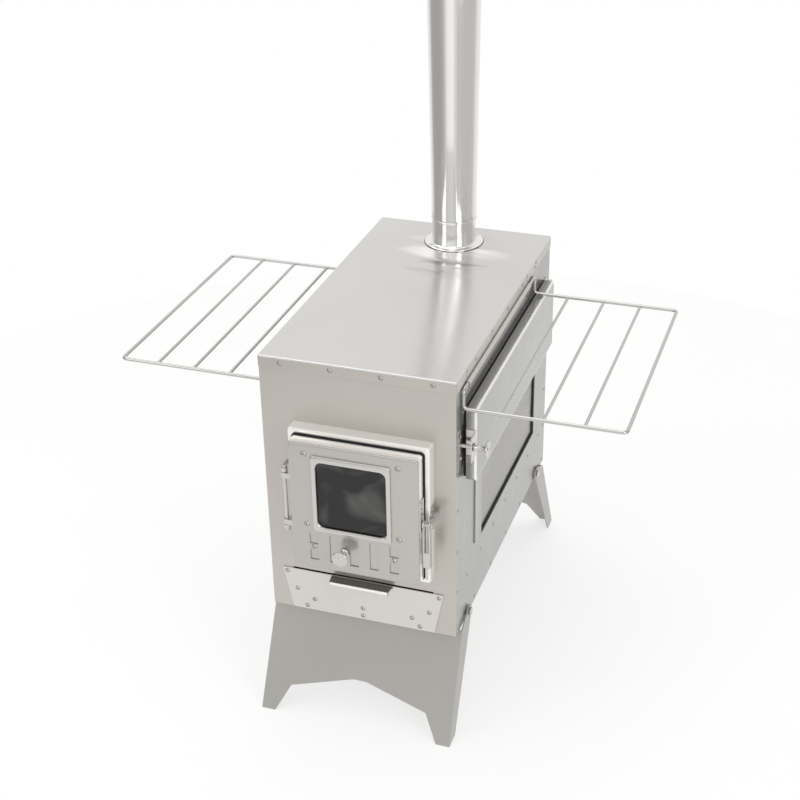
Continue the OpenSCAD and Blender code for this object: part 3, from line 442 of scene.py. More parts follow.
@dataclass
class PressedPan:
    """A pan pressed from one sheet: a face with rounded bends into four folded walls.

    Attributes:
        width: size along u.
        height: size along v.
        depth: depth of the walls along w.
        corner: corner radius seen from the front.
        bend: radius of the fold between face and wall.
        holes: loops of the holes in the face.
    """

    width: float
    height: float
    depth: float
    corner: float
    bend: float
    holes: list[Array] = field(default_factory=list)

    @property
    def outline(self) -> tuple[Array, Array]:
        """Loop round the pan and its normals."""
        return rounded_loop(self.width, self.height, self.corner)

    @property
    def cut_edge(self) -> Profile:
        """Profile of the walls' free edge, its two corners broken."""
        t, d, broken = SHEET_T, self.depth, 0.25
        return [(0, -d + broken), (-broken, -d), (-t + broken, -d), (-t, -d + broken)]

    def bend_highlight(self) -> Shape:
        """Painted highlight along the rolled edge: a bright skin a twentieth of a millimetre proud
        of it.
        """
        r = self.bend
        skin = arc((-r, -r), r + 0.05, -8, 98, 9) + arc((-r, -r), r - 0.3, 98, -8, 9)
        return carry(skin, *self.outline, True)

    def wall(self, top: float) -> Shape:
        """The walls alone, as a closed ring from w = -top down to w = -depth."""
        return carry([(0, -top), *self.cut_edge, (-SHEET_T, -top)], *self.outline, True)

    def shape(self) -> Shape:
        """Face at w = 0, walls down to w = -depth, as a sheet of its full thickness."""
        loop, normals = self.outline
        t, b = SHEET_T, self.bend
        outer = [(-b + x, z) for x, z in arc((0, -b), b, 90, 0, 6)]
        inner = [(-b + x, z) for x, z in arc((0, -b), max(b - t, 0.15), 0, 90, 6)]
        face = loop - b * normals
        parts = [carry(outer + self.cut_edge + inner, loop, normals),
                 plate(face, self.holes, 0.0), plate(face, self.holes, -t)]
        parts += [Shape.grid(xyz(*hole.T, np.array([[0.0], [-t]]))) for hole in self.holes]
        return Shape.joined(parts)


# ------------------------------------------------------------------ finishes


def scaled(colour: Colour, factor: float) -> Colour:
    """A colour made lighter or darker by a factor, limited to 1."""
    return tuple(min(1.0, c * factor) for c in colour)


def grey(level: float) -> Colour:
    """A grey of the given level."""
    return (level, level, level)


class Nodes:
    """Adds nodes to a tree and links them. An input is fed by a socket or set to a value."""

    def __init__(self, tree: bpy.types.NodeTree) -> None:
        """Empties the tree."""
        self.tree = tree
        tree.nodes.clear()

    def feed(self, node: bpy.types.Node, inputs: dict) -> None:
        """Links or sets a node's inputs, by name or number."""
        for key, value in inputs.items():
            if isinstance(value, Socket):
                self.tree.links.new(value, node.inputs[key])
            else:
                node.inputs[key].default_value = value

    def add(self, kind: str, inputs: Optional[dict] = None, **properties: object) -> bpy.types.Node:
        """A new node with the given inputs and properties."""
        node = self.tree.nodes.new(kind)
        for key, value in properties.items():
            setattr(node, key, value)
        self.feed(node, inputs or {})
        return node

    def maths(self, operation: str, first: Socket, second: Socket | float) -> Socket:
        """Result of a calculation with two numbers."""
        return self.add("ShaderNodeMath", {0: first, 1: second}, operation=operation).outputs[0]

    def mix(self, share: Socket | float, first: Socket | tuple, second: Socket,
            blend: str = "MIX") -> Socket:
        """Two colours mixed or multiplied."""
        return self.add("ShaderNodeMix", {0: share, 6: first, 7: second}, data_type="RGBA",
                        blend_type=blend).outputs[2]

    def ramp(self, source: Socket, stops: Sequence[tuple[float, Colour]],
             interpolation: str = "LINEAR") -> Socket:
        """Colour ramp through the given stops."""
        node = self.add("ShaderNodeValToRGB", {"Fac": source})
        ramp = node.color_ramp
        ramp.interpolation = interpolation
        while len(ramp.elements) < len(stops):
            ramp.elements.new(0.5)
        for element, (position, colour) in zip(ramp.elements, stops):
            element.position = position
            element.color = (*colour, 1.0)
        return node.outputs["Color"]

    def spread(self, source: Socket, low: float, high: float, start: float = 0.3,
               end: float = 0.7) -> Socket:
        """Maps the range start to end onto low to high."""
        return self.add("ShaderNodeMapRange", {"Value": source, "From Min": start, "From Max": end,
                                               "To Min": low, "To Max": high}).outputs["Result"]

    def shown_rays(self) -> Socket:
        """1 for the rays that show a surface: camera, mirror and see-through, else 0."""
        path = self.add("ShaderNodeLightPath").outputs
        most = self.maths("MAXIMUM", path["Is Camera Ray"], path["Is Glossy Ray"])
        return self.maths("MAXIMUM", most, path["Is Transmission Ray"])


class Finish(Nodes):
    """Node material with a Principled shader, laid out over Object coordinates."""

    def __init__(self, name: str) -> None:
        """Starts the material with its shader and output."""
        self.material = bpy.data.materials.new(name)
        self.material.use_nodes = True
        super().__init__(self.material.node_tree)
        self.shader = self.add("ShaderNodeBsdfPrincipled")
        self.output = self.add("ShaderNodeOutputMaterial", {"Surface": self.shader.outputs["BSDF"]})
        self.place = self.add("ShaderNodeTexCoord").outputs["Object"]

    def noise(self, scale: Point, detail: float, distortion: float = 0.0,
              at: Point = (0.0, 0.0, 0.0)) -> Socket:
        """Noise over the coordinates, stretched by a scale per metre."""
        mapping = self.add("ShaderNodeMapping",
                           {"Vector": self.place, "Scale": scale, "Location": at})
        noise = self.add("ShaderNodeTexNoise",
                         {"Vector": mapping.outputs["Vector"], "Scale": 1.0, "Detail": detail,
                          "Distortion": distortion})
        return noise.outputs["Fac"]

    def bump(self, height: Socket, distance: float, strength: float,
             below: Optional[Socket] = None) -> Socket:
        """Bump of a height, over an earlier one where given."""
        inputs = {"Height": height, "Distance": distance, "Strength": strength}
        if below is not None:
            inputs["Normal"] = below
        return self.add("ShaderNodeBump", inputs).outputs["Normal"]


@dataclass(frozen=True)
class Steel:
    """Stainless sheet, wire or turned metal.

    Attributes:
        name: name of the material, and the record's slot.
        colour: colour of its reflection.
        roughness: middle roughness.
        grain: direction of the rolled lines.
        metallic: share of mirror-like metal; the rest is the dull bloom of the rolled skin.
        lines: depth of those lines, in micrometres.
        waves: depth of the sheet's long waves, in millimetres.
        buckle: place on the sheet round which heat has buckled it, or None.
    """

    name: str
    colour: Colour
    roughness: float = 0.24
    grain: Grain = Grain.NONE
    metallic: float = 0.7
    lines: float = 4.0
    waves: float = 0.12
    buckle: Optional[Point] = None

    def material(self) -> bpy.types.Material:
        """Builds the node material: a cloudy tint, part random tone and part painted soft
        reflections, handling marks, rolled lines and waves.
        """
        n = Finish(self.name)
        # Random tone and painted reflection: soft clouds of lighter and darker colour stand in for
        # the sheet's wavy reflections.
        tone_and_reflection_cloud = 0.025
        tint_and_painted_reflection = n.ramp(n.noise((4.0, 4.0, 3.0), 2.0, 0.6),
                      [(0.25, scaled(self.colour, 1 - tone_and_reflection_cloud)), (0.5, self.colour),
                       (0.75, scaled(self.colour, 1 + tone_and_reflection_cloud))])
        lines = n.noise(self.grain.value, 2.0)
        shade = n.ramp(lines, [(0.3, grey(0.985)), (0.7, grey(1.0))])
        colour = n.mix(1.0, tint_and_painted_reflection, shade, "MULTIPLY")
        waves = n.noise((5.0, 5.0, 4.0), 1.0, 0.3, at=(0.4, 0.2, 0.9))
        normal = n.bump(waves, self.waves * MM, 1.0)
        if self.buckle:
            colour, normal = self.buckled(n, colour, normal)
        marks = n.noise((30.0, 30.0, 30.0), 4.0, 1.0, at=(3.1, 0.7, 1.9))
        n.feed(n.shader, {
            "Metallic": self.metallic, "Base Color": colour,
            "Roughness": n.spread(marks, self.roughness * 0.92, self.roughness * 1.1),
            "Normal": n.bump(lines, self.lines * MM * MM, 0.5, normal)})
        return n.material

    def buckled(self, n: Finish, colour: Socket, normal: Socket) -> tuple[Socket, Socket]:
        """Adds the heat's buckling, which fades out from the hot place: long ridges in the bump,
        and dark and light strokes of painted reflection in the colour.
        """
        hot = tuple(v * MM for v in self.buckle)
        near = n.add("ShaderNodeVectorMath", {0: n.place, 1: hot}, operation="DISTANCE")
        fade = n.spread(near.outputs["Value"], 1.0, 0.0, 0.035, 0.085)
        ridges = n.noise((7.0, 34.0, 1.0), 1.0, 0.5, at=(0.2, 0.6, 0.0))
        # Painted reflection: the ridges' dark and light strokes are multiplied into the colour.
        painted_reflection_strokes = n.ramp(ridges, [(0.34, (0.66, 0.65, 0.64)), (0.43, grey(0.98)),
                                  (0.55, grey(1.0)), (0.66, grey(1.45))])
        depth = n.maths("MULTIPLY", fade, ridges)
        return n.mix(fade, colour, painted_reflection_strokes, "MULTIPLY"), n.bump(depth, 4.0 * MM, 1.0, normal)


@dataclass(frozen=True)
class Pane:
    """Heat-resistant glass, with haze on its inner face.

    Attributes:
        name: name of the material, and the record's slot.
        dark: colour where the haze is thin.
        light: colour where the haze is thick.
        roughness: roughness of its face.
        patches: scale of the haze's patches, per metre.
    """

    name: str
    dark: Colour
    light: Colour
    roughness: float = 0.08
    patches: Point = (11.0, 11.0, 15.0)

    def material(self) -> bpy.types.Material:
        """Builds the pane: smoky haze in soft patches and a slightly wavy face."""
        n = Finish(self.name)
        haze = n.noise(self.patches, 2.0, 1.6, at=(0.3, 0.0, 1.7))
        n.feed(n.shader, {
            "IOR": 1.45,
            "Base Color": n.ramp(haze, [(0.36, self.dark), (0.50, self.dark), (0.74, self.light)]),
            "Roughness": n.spread(haze, self.roughness, self.roughness * 2.2),
            "Normal": n.bump(n.noise((9.0, 9.0, 9.0), 1.0), 0.25 * MM, 1.0)})
        return n.material


@dataclass(frozen=True)
class WovenSeal:
    """Black glass-fibre tape, whose threads cross at a slant.

    Attributes:
        name: name of the material, and the record's slot.
        colour: colour of the threads.
        bands: scale of the bands of threads, per metre.
    """

    name: str
    colour: Colour
    bands: float = 45.0

    def material(self) -> bpy.types.Material:
        """Builds the tape: two crossed sets of threads in colour and bump."""
        n = Finish(self.name)
        slant = n.add("ShaderNodeMapping", {"Vector": n.place, "Rotation": (0.6, 0.7, 0.5)})
        threads = [n.add("ShaderNodeTexWave",
                         {"Vector": slant.outputs["Vector"], "Scale": self.bands,
                          "Distortion": 0.6, "Detail": 1.0},
                         wave_type="BANDS", bands_direction=direction).outputs["Fac"]
                   for direction in ("X", "Y")]
        cross = n.maths("MULTIPLY", *threads)
        tone = [(0.0, scaled(self.colour, 0.45)), (0.8, scaled(self.colour, 1.6))]
        n.feed(n.shader, {
            "Base Color": n.ramp(cross, tone),
            "Roughness": n.spread(n.noise((700.0, 700.0, 700.0), 3.0), 0.75, 0.95),
            "Normal": n.bump(cross, 0.25 * MM, 1.0)})
        return n.material


# Painted light and shade: the sheets' colour levels follow how bright each face looks, so the lid,
# facing up, is lightest and the side walls darkest.
FINISHES = [
    Steel("front_sheet", (0.530, 0.500, 0.465), 0.30, Grain.ALONG_Z, lines=1.0),
    Steel("body_sheet", (0.405, 0.402, 0.393), 0.28, Grain.ALONG_Z, lines=0.2),
    Steel("lid_sheet", (0.640, 0.634, 0.624), 0.20, Grain.ALONG_Y, lines=2.0,
          buckle=(10.0, 128.0, LID_TOP)),
    Steel("door_sheet", (0.490, 0.470, 0.445), 0.24, Grain.ALONG_Z, lines=2.0, waves=0.06),
    Steel("side_door_sheet", (0.440, 0.437, 0.428), 0.27, Grain.ALONG_Y, lines=0.2),
    Steel("drawer_sheet", (0.660, 0.638, 0.612), 0.30, Grain.ALONG_X, lines=2.0),
    Steel("leg_sheet", (0.430, 0.420, 0.402), 0.34, Grain.ALONG_Z, lines=2.0),
    Steel("pipe_sheet", (0.880, 0.875, 0.860), 0.11, Grain.ALONG_Z, 0.92, waves=0.05, lines=3.0),
    # Darkest steel: on the pull's top, rivet pins, screw sockets and foot rings it paints shade.
    Steel("inner_sheet", (0.200, 0.190, 0.180), 0.42, Grain.ALONG_X, 0.8),
    Steel("fittings", (0.600, 0.585, 0.565), 0.20, Grain.NONE, 0.9, waves=0.02),
    # Lightest steel: on the front door's walls and collar, the side door's bends and the pull's hem
    # it paints highlights.
    Steel("bright_fittings", (0.880, 0.865, 0.840), 0.16, Grain.NONE, 0.5, waves=0.02, lines=2.0),
    Steel("rack_wire", (0.560, 0.555, 0.545), 0.18, Grain.NONE, 0.85, waves=0.02, lines=3.0),
    Steel("rivets", (0.580, 0.565, 0.545), 0.14, Grain.NONE, 1.0, waves=0.01),
    Pane("front_pane", (0.007, 0.0075, 0.007), (0.110, 0.108, 0.106)),
    Pane("side_pane", (0.27, 0.265, 0.255), (0.36, 0.35, 0.34), 0.16, (5.0, 5.0, 5.0)),
    WovenSeal("gasket_rope", (0.006, 0.0057, 0.0054)),
]


def added(name: str, data: bpy.types.ID) -> bpy.types.Object:
    """A new object of the scene that shows some data."""
    obj = bpy.data.objects.new(name, data)
    bpy.context.scene.collection.objects.link(obj)
    return obj


def smoothed(name: str, mesh: bpy.types.Mesh, sharp: float) -> bpy.types.Object:
    """A new object of a smooth mesh, whose edges over an angle in degrees stay sharp."""
    mesh.polygons.foreach_set("use_smooth", np.ones(len(mesh.polygons), bool))
    mesh.set_sharp_from_angle(angle=math.radians(sharp))
    return added(name, mesh)


class Workshop:
    """Turns shapes into finished objects, and CAD nodes into dressed ones."""

    MERGE = 0.00001
    NODE_MERGE = 0.000002
    FLAT_ANGLE = math.radians(0.6)
    BEVEL_ANGLE = 40.0

    def __init__(self, record: dict, nodes: dict[str, bpy.types.Object]) -> None:
        """Builds every finish and reads which slot each CAD node takes."""
        self.materials = {f.name: f.material() for f in FINISHES}
        self.nodes = nodes
        self.slots = {s["node"]: s["material_slot"] for s in record["subparts"]}
        self.count = 0

    def dress_nodes(self) -> None:
        """Gives each CAD node the material of its slot."""
        for name, obj in self.nodes.items():
            material = self.materials[self.slots[name]]
            if not obj.material_slots:
                obj.data.materials.append(material)
            for slot in obj.material_slots:
                slot.material = material

    def finish_piece(self, obj: bpy.types.Object, slot: str, body: str,
                     stands_for: Sequence[str]) -> None:
        """Gives a piece its material, body, slot and the nodes that it stands for."""
        obj.data.materials.clear()
        obj.data.materials.append(self.materials[slot])
        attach(obj, body)
        if stands_for:
            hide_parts(*stands_for)
        self.count += 1
        log.info("%s: %d faces on %s", obj.name, len(obj.data.polygons), body)

    def make(self, name: str, shape: Shape, slot: str, body: str,
             stands_for: Sequence[str] = (), sharp: float = 32.0) -> None:
        """Makes a piece from a shape, with its origin at the world's.

        Args:
            name: name of the piece.
            shape: its points in millimetres and its faces.
            slot: finish, by its slot in the record.
            body: CAD body that it moves with.
            stands_for: CAD nodes that it replaces.
            sharp: edges over this many degrees stay sharp.
        """
        mesh = bpy.data.meshes.new(name)
        mesh.from_pydata((shape.points * MM).tolist(), [],
                         [face.tolist() for part in shape.faces for face in part])
        edit = bmesh.new()
        edit.from_mesh(mesh)
        bmesh.ops.remove_doubles(edit, verts=edit.verts, dist=self.MERGE)
        bmesh.ops.recalc_face_normals(edit, faces=edit.faces)
        edit.to_mesh(mesh)
        edit.free()
        self.finish_piece(smoothed(name, mesh, sharp), slot, body, stands_for)

    def rivets(self, name: str, rows: Sequence[tuple[Array, Turn, float, float]], body: str,
               node: str) -> None:
        """Makes rivet heads, and their pins and foot rings in a darker finish that paints the shade
        in and round them.

        Args:
            name: name of the piece.
            rows: feet of the heads, their direction, radius and height, for each kind.
            body: CAD body that they move with.
            node: CAD node that they replace.
        """
        heads = Shape.joined([dome_heads(*row) for row in rows])
        self.make(name, heads, "rivets", body, [node])
        pins = Shape.joined([rivet_pins(*row) for row in rows])
        # Painted shade: pins and foot rings take the dark inner finish.
        self.make(f"{name}_pins", pins, "inner_sheet", body)

    def door_screws(self, names: tuple[str, str], places: Array, head: tuple[float, float],
                    shank: tuple[float, ...], node: str) -> None:
        """Makes screws in the front door, and the dark sockets in their heads, whose dark finish
        paints the shade in the sockets and round the heads' feet.

        Args:
            names: names of the screws and of their sockets.
            places: world points of the heads' feet.
            head: radius and height of a head.
            shank: radius of a shank, and how far behind the face its points lie.
            node: CAD node that they replace.
        """
        radius, *depths = shank
        heads = dome_heads(places, Turn.FRONT, *head, 18)
        shanks = [wire(place + xyz(0.0, depths, 0.0), radius) for place in places]
        self.make(names[0], Shape.joined([heads, *shanks]), "rivets", "front_door", [node])
        # Painted shade: sockets and foot rings take the dark inner finish.
        self.make(names[1], rivet_pins(places, Turn.FRONT, *head), "inner_sheet", "front_door")

    def soften(self, node: str, body: str, width: float) -> None:
        """Replaces a CAD node by a copy whose edges are rounded, so that they catch light.

        Args:
            node: name of the CAD node.
            body: CAD body that it moves with.
            width: width of the rounding, in millimetres.
        """
        mesh = self.nodes[node].data.copy()
        mesh.name = f"{node}_soft"
        edit = bmesh.new()
        edit.from_mesh(mesh)
        bmesh.ops.remove_doubles(edit, verts=edit.verts, dist=self.NODE_MERGE)
        bmesh.ops.dissolve_limit(edit, angle_limit=self.FLAT_ANGLE, verts=edit.verts,
                                 edges=edit.edges)
        edit.to_mesh(mesh)
        edit.free()
        if "custom_normal" in mesh.attributes:
            mesh.attributes.remove(mesh.attributes["custom_normal"])
        obj = smoothed(f"{node}_soft", mesh, self.BEVEL_ANGLE)
        bevel = obj.modifiers.new("Rounded", "BEVEL")
        bevel.width = width * MM
        bevel.segments = 2
        bevel.limit_method = "ANGLE"
        bevel.angle_limit = math.radians(self.BEVEL_ANGLE)
        bevel.harden_normals = True
        self.finish_piece(obj, self.slots[node], body, [node])


# ------------------------------------------------------------------ lid and flue


@dataclass
class Flue:
    """Collar, ring and pipe at the rear of the lid.

    Attributes:
        y: place of its axis.
        collar_r: outer radius of the collar.
        ring_w: how far the ring reaches beyond the collar.
        bead_h: height of the bead above the lid.
        spigot: length of the collar inside the pipe.
        top_r: outer radius of the pipe's upper end.
        top_h: height of the pipe's upper end above the lid.
        end_l: length of the straight upper end.
        sheet: thickness of the pipe.
        lap: angle of the lapped seam, in degrees.
        fit: clearance between collar and pipe.
        growth: growth of the pipe's radius round a turn, as a share of its sheet.
        rivets_out: ring's rivets outside the collar.
    """

    y: float = 172.0
    collar_r: float = 30.0
    ring_w: float = 10.5
    bead_h: float = 38.5
    spigot: float = 30.0
    top_r: float = 35.0
    top_h: float = 392.0
    end_l: float = 60.0
    sheet: float = 0.8
    lap: float = -72.0
    fit: float = 0.08
    growth: float = 0.12
    rivets_out: float = 5.6

    @property
    def ring_r(self) -> float:
        """Radius of the ring's rim."""
        return self.collar_r + self.ring_w

    @property
    def foot_r(self) -> float:
        """Outer radius of the pipe's lower end."""
        return self.collar_r + self.fit + self.sheet

    @property
    def heights(self) -> tuple[float, float, float]:
        """Heights above the pipe's foot where it starts and stops widening, and of its end."""
        top = self.top_h - self.bead_h
        return self.spigot + 4, top - self.end_l, top

    def pipe_r(self, z: Array) -> Array:
        """Outer radius of the pipe at heights above its foot."""
        low, high, _ = self.heights
        return self.foot_r + (self.top_r - self.foot_r) * np.clip((z - low) / (high - low), 0, 1)

    def collar(self) -> Shape:
        """Revolved collar: ring on the lid with a rounded rim, tube and rolled bead."""
        r, b, rim = self.collar_r, self.bead_h, self.ring_r
        end = b + self.spigot
        profile = [(r - 1, -5), (r - 1, end), (r - 0.3, end), (r, end - 0.6), (r, b - 0.3)]
        profile += arc((r, b - 1.9), 1.6, 90, -90, 8) + arc((r + 4, 5.6), 4.0, 180, 270, 7)
        profile += [(rim - 1.2, 1.7)] + arc((rim - 0.75, 0.75), 0.75, 90, -60, 6)
        profile += [(r - 0.2, 0.02), (r - 0.2, -5), (r - 1, -5)]
        return revolve(profile, FINE_ROUND)

    def pipe(self) -> Shape:
        """Revolved pipe that widens upwards; it grows a little from the seam round to itself."""
        low, high, top = self.heights
        z = np.concatenate([[0.35, 1.2], np.linspace(3, low, 6), np.linspace(low + 6, high, 26),
                            np.linspace(high + 6, top - 0.5, 8)])
        outer = self.pipe_r(z)
        profile = [(self.foot_r - self.sheet, 0.2), (self.foot_r - self.sheet / 2, 0.0)]
        profile += [*zip(outer, z), (self.top_r - self.sheet / 2, top)]
        profile += list(zip(outer - self.sheet, z))[::-1]
        seam = math.radians(self.lap)

        def swell(angle: Array) -> Array:
            """Share of the turn since the seam, times that growth."""
            share = np.mod(angle - seam, FULL_TURN) / FULL_TURN - 0.5
            return share * self.sheet * self.growth

        return revolve(profile, 144, swell)

    def seam(self) -> Shape:
        """Lapped edge of the pipe's sheet: a strip that stands a third of a millimetre proud."""
        z = np.linspace(1.5, self.heights[-1] - 1.5, 60)[:, None]
        angle = math.radians(self.lap) + np.array([-0.02, 0.0, 0.004, 0.10, 0.16, 0.20])
        reach = self.pipe_r(z) + np.array([-0.3, 0.12, 0.34, 0.30, 0.14, -0.3])
        return Shape.grid(xyz(reach * np.cos(angle), reach * np.sin(angle), z), wrap_cols=False)

    def build(self, shop: Workshop) -> None:
        """Makes the collar, a black ring round its rim that paints the shade where it meets the
        lid, its rivets and the pipe with its seam.
        """
        foot = (0.0, self.y, LID_TOP)
        shop.make("flue_ring_and_collar", self.collar().moved(Turn.UP, foot), "pipe_sheet",
                  "stove_body", ["flue_collar"], 40)
        # Painted shade: a thin black ring at the rim's foot.
        low, high = self.ring_r - 1.0, self.ring_r + 0.7
        shade_ring = revolve([(low, 0.0), (high, 0.0), (high - 0.1, 0.35), (low, 0.35), (low, 0.0)],
                        FINE_ROUND)
        shop.make("flue_ring_shade", shade_ring.moved(Turn.UP, foot), "gasket_rope", "stove_body")
        a = np.radians([45, 135, 225, 315])
        r = self.collar_r + self.rivets_out
        feet = xyz(r * np.cos(a), self.y + r * np.sin(a), LID_TOP + 1.6)
        shop.rivets("flue_ring_rivets", [(feet, Turn.UP, 2.0, 1.0)], "stove_body",
                    "flue_collar_rivets")
        base = (0.0, self.y, LID_TOP + self.bead_h)
        shop.make("flue_pipe", self.pipe().moved(Turn.UP, base), "pipe_sheet", "chimney",
                  ["chimney_pipe"], 40)
        shop.make("flue_pipe_seam", self.seam().moved(Turn.UP, base), "pipe_sheet", "chimney")


@dataclass
class Lid:
    """Lid pressed with a rolled edge, and its rivets.

    Attributes:
        flange: height of the flange over the walls.
        corner: corner radius seen from above.
        bend: radius of the rolled edge.
        front_rivets: places of the rivets along the front and rear.
        side_pairs: places of the rivet pairs along the sides, from the front.
        side_singles: places of the single rivets along the sides, from the front.
        pair_gap: half the height between the rivets of a pair.
        heads: radius and height of a head in front, of a single one and of one in a pair.
    """

    flange: float = 15.0
    corner: float = 3.0
    bend: float = 2.0
    front_rivets: tuple[float, ...] = (-96, -32, 32, 96)
    side_pairs: tuple[float, ...] = (40, 149, 321, 369)
    side_singles: tuple[float, ...] = (78, 224, 299)
    pair_gap: float = 3.6
    heads: tuple[tuple[float, float], ...] = ((2.6, 1.1), (2.5, 1.1), (2.0, 1.0))

    def build(self, shop: Workshop, flue: Flue) -> None:
        """Makes the lid round the flue's hole, its flange and the flange's rivets."""
        place, edge = (0, 0, LID_TOP), self.bend + 0.6
        a = round_angles(64)
        hole = np.stack([np.cos(a), np.sin(a)], -1) * (flue.collar_r + 0.2) + (0, flue.y)
        lid = PressedPan(BODY_W, BODY_D, edge, self.corner, self.bend, [hole]).shape()
        shop.make("lid", lid.moved(Turn.UP, place), "lid_sheet", "stove_body", ["top_plate"], 50)
        flange = PressedPan(BODY_W, BODY_D, self.flange, self.corner, self.bend).wall(edge)
        # Painted shade: the upright flange takes the front's darker finish, not the lid's.
        shop.make("lid_flange", flange.moved(Turn.UP, place), "front_sheet", "stove_body")
        z = LID_TOP - self.flange / 2
        front, single, pair = self.heads
        rows = [(xyz(self.front_rivets, y, z), turn, *front)
                for y, turn in ((FRONT_Y, Turn.FRONT), (REAR_Y, Turn.REAR))]
        pairs = np.repeat(self.side_pairs, 2)
        pair_z = z + np.tile([-self.pair_gap, self.pair_gap], len(self.side_pairs))
        for side, turn in SIDES:
            x = side * BODY_W / 2
            rows.append((xyz(x, FRONT_Y + np.array(self.side_singles), z), turn, *single))
            rows.append((xyz(x, FRONT_Y + pairs, pair_z), turn, *pair))
        shop.rivets("lid_rivets", rows, "stove_body", "top_plate_rivets")


@dataclass
class WallRivets:
    """Rivets along the edges of the side and rear walls.

    Attributes:
        corner: heights of the rivets along the upright corners, above the floor sheet.
        inset: distance of those rivets from the corners.
        grate: places of the row that holds the grate's rails, from the front.
        grate_z: height of that row above the floor sheet.
        floor: places of the row along the lower edge, from the front.
        floor_z: height of that row above the floor sheet.
        head: radius and height of a head.
    """

    corner: tuple[float, ...] = (4, 64, 124, 184)
    inset: float = 8.0
    grate: tuple[float, ...] = (50, 111.5, 173, 234.5, 296, 357.5, 419)
    grate_z: float = 61.5
    floor: tuple[float, ...] = (87, 164, 241, 318)
    floor_z: float = 4.0
    head: tuple[float, float] = (2.4, 1.05)

    def build(self, shop: Workshop) -> None:
        """Makes all the heads as one piece."""
        heads, ends = [], (-1, 1)
        for side, turn in SIDES:
            x = side * WALL_X
            rows = [(x, end * (BODY_D / 2 - self.inset), z) for z in self.corner for end in ends]
            rows += [(x, FRONT_Y + y, self.grate_z) for y in self.grate]
            rows += [(x, FRONT_Y + y, self.floor_z) for y in self.floor]
            heads.append((rows + np.array([0, 0, LEG_H]), turn, *self.head))
        rear = [(end * (BODY_W / 2 - self.inset), WALL_Y, LEG_H + z + self.floor_z)
                for z in self.corner for end in ends]
        heads.append((np.array(rear), Turn.REAR, *self.head))
        shop.rivets("wall_rivets", heads, "stove_body", "side_wall_rivets")


# ------------------------------------------------------------------ front door


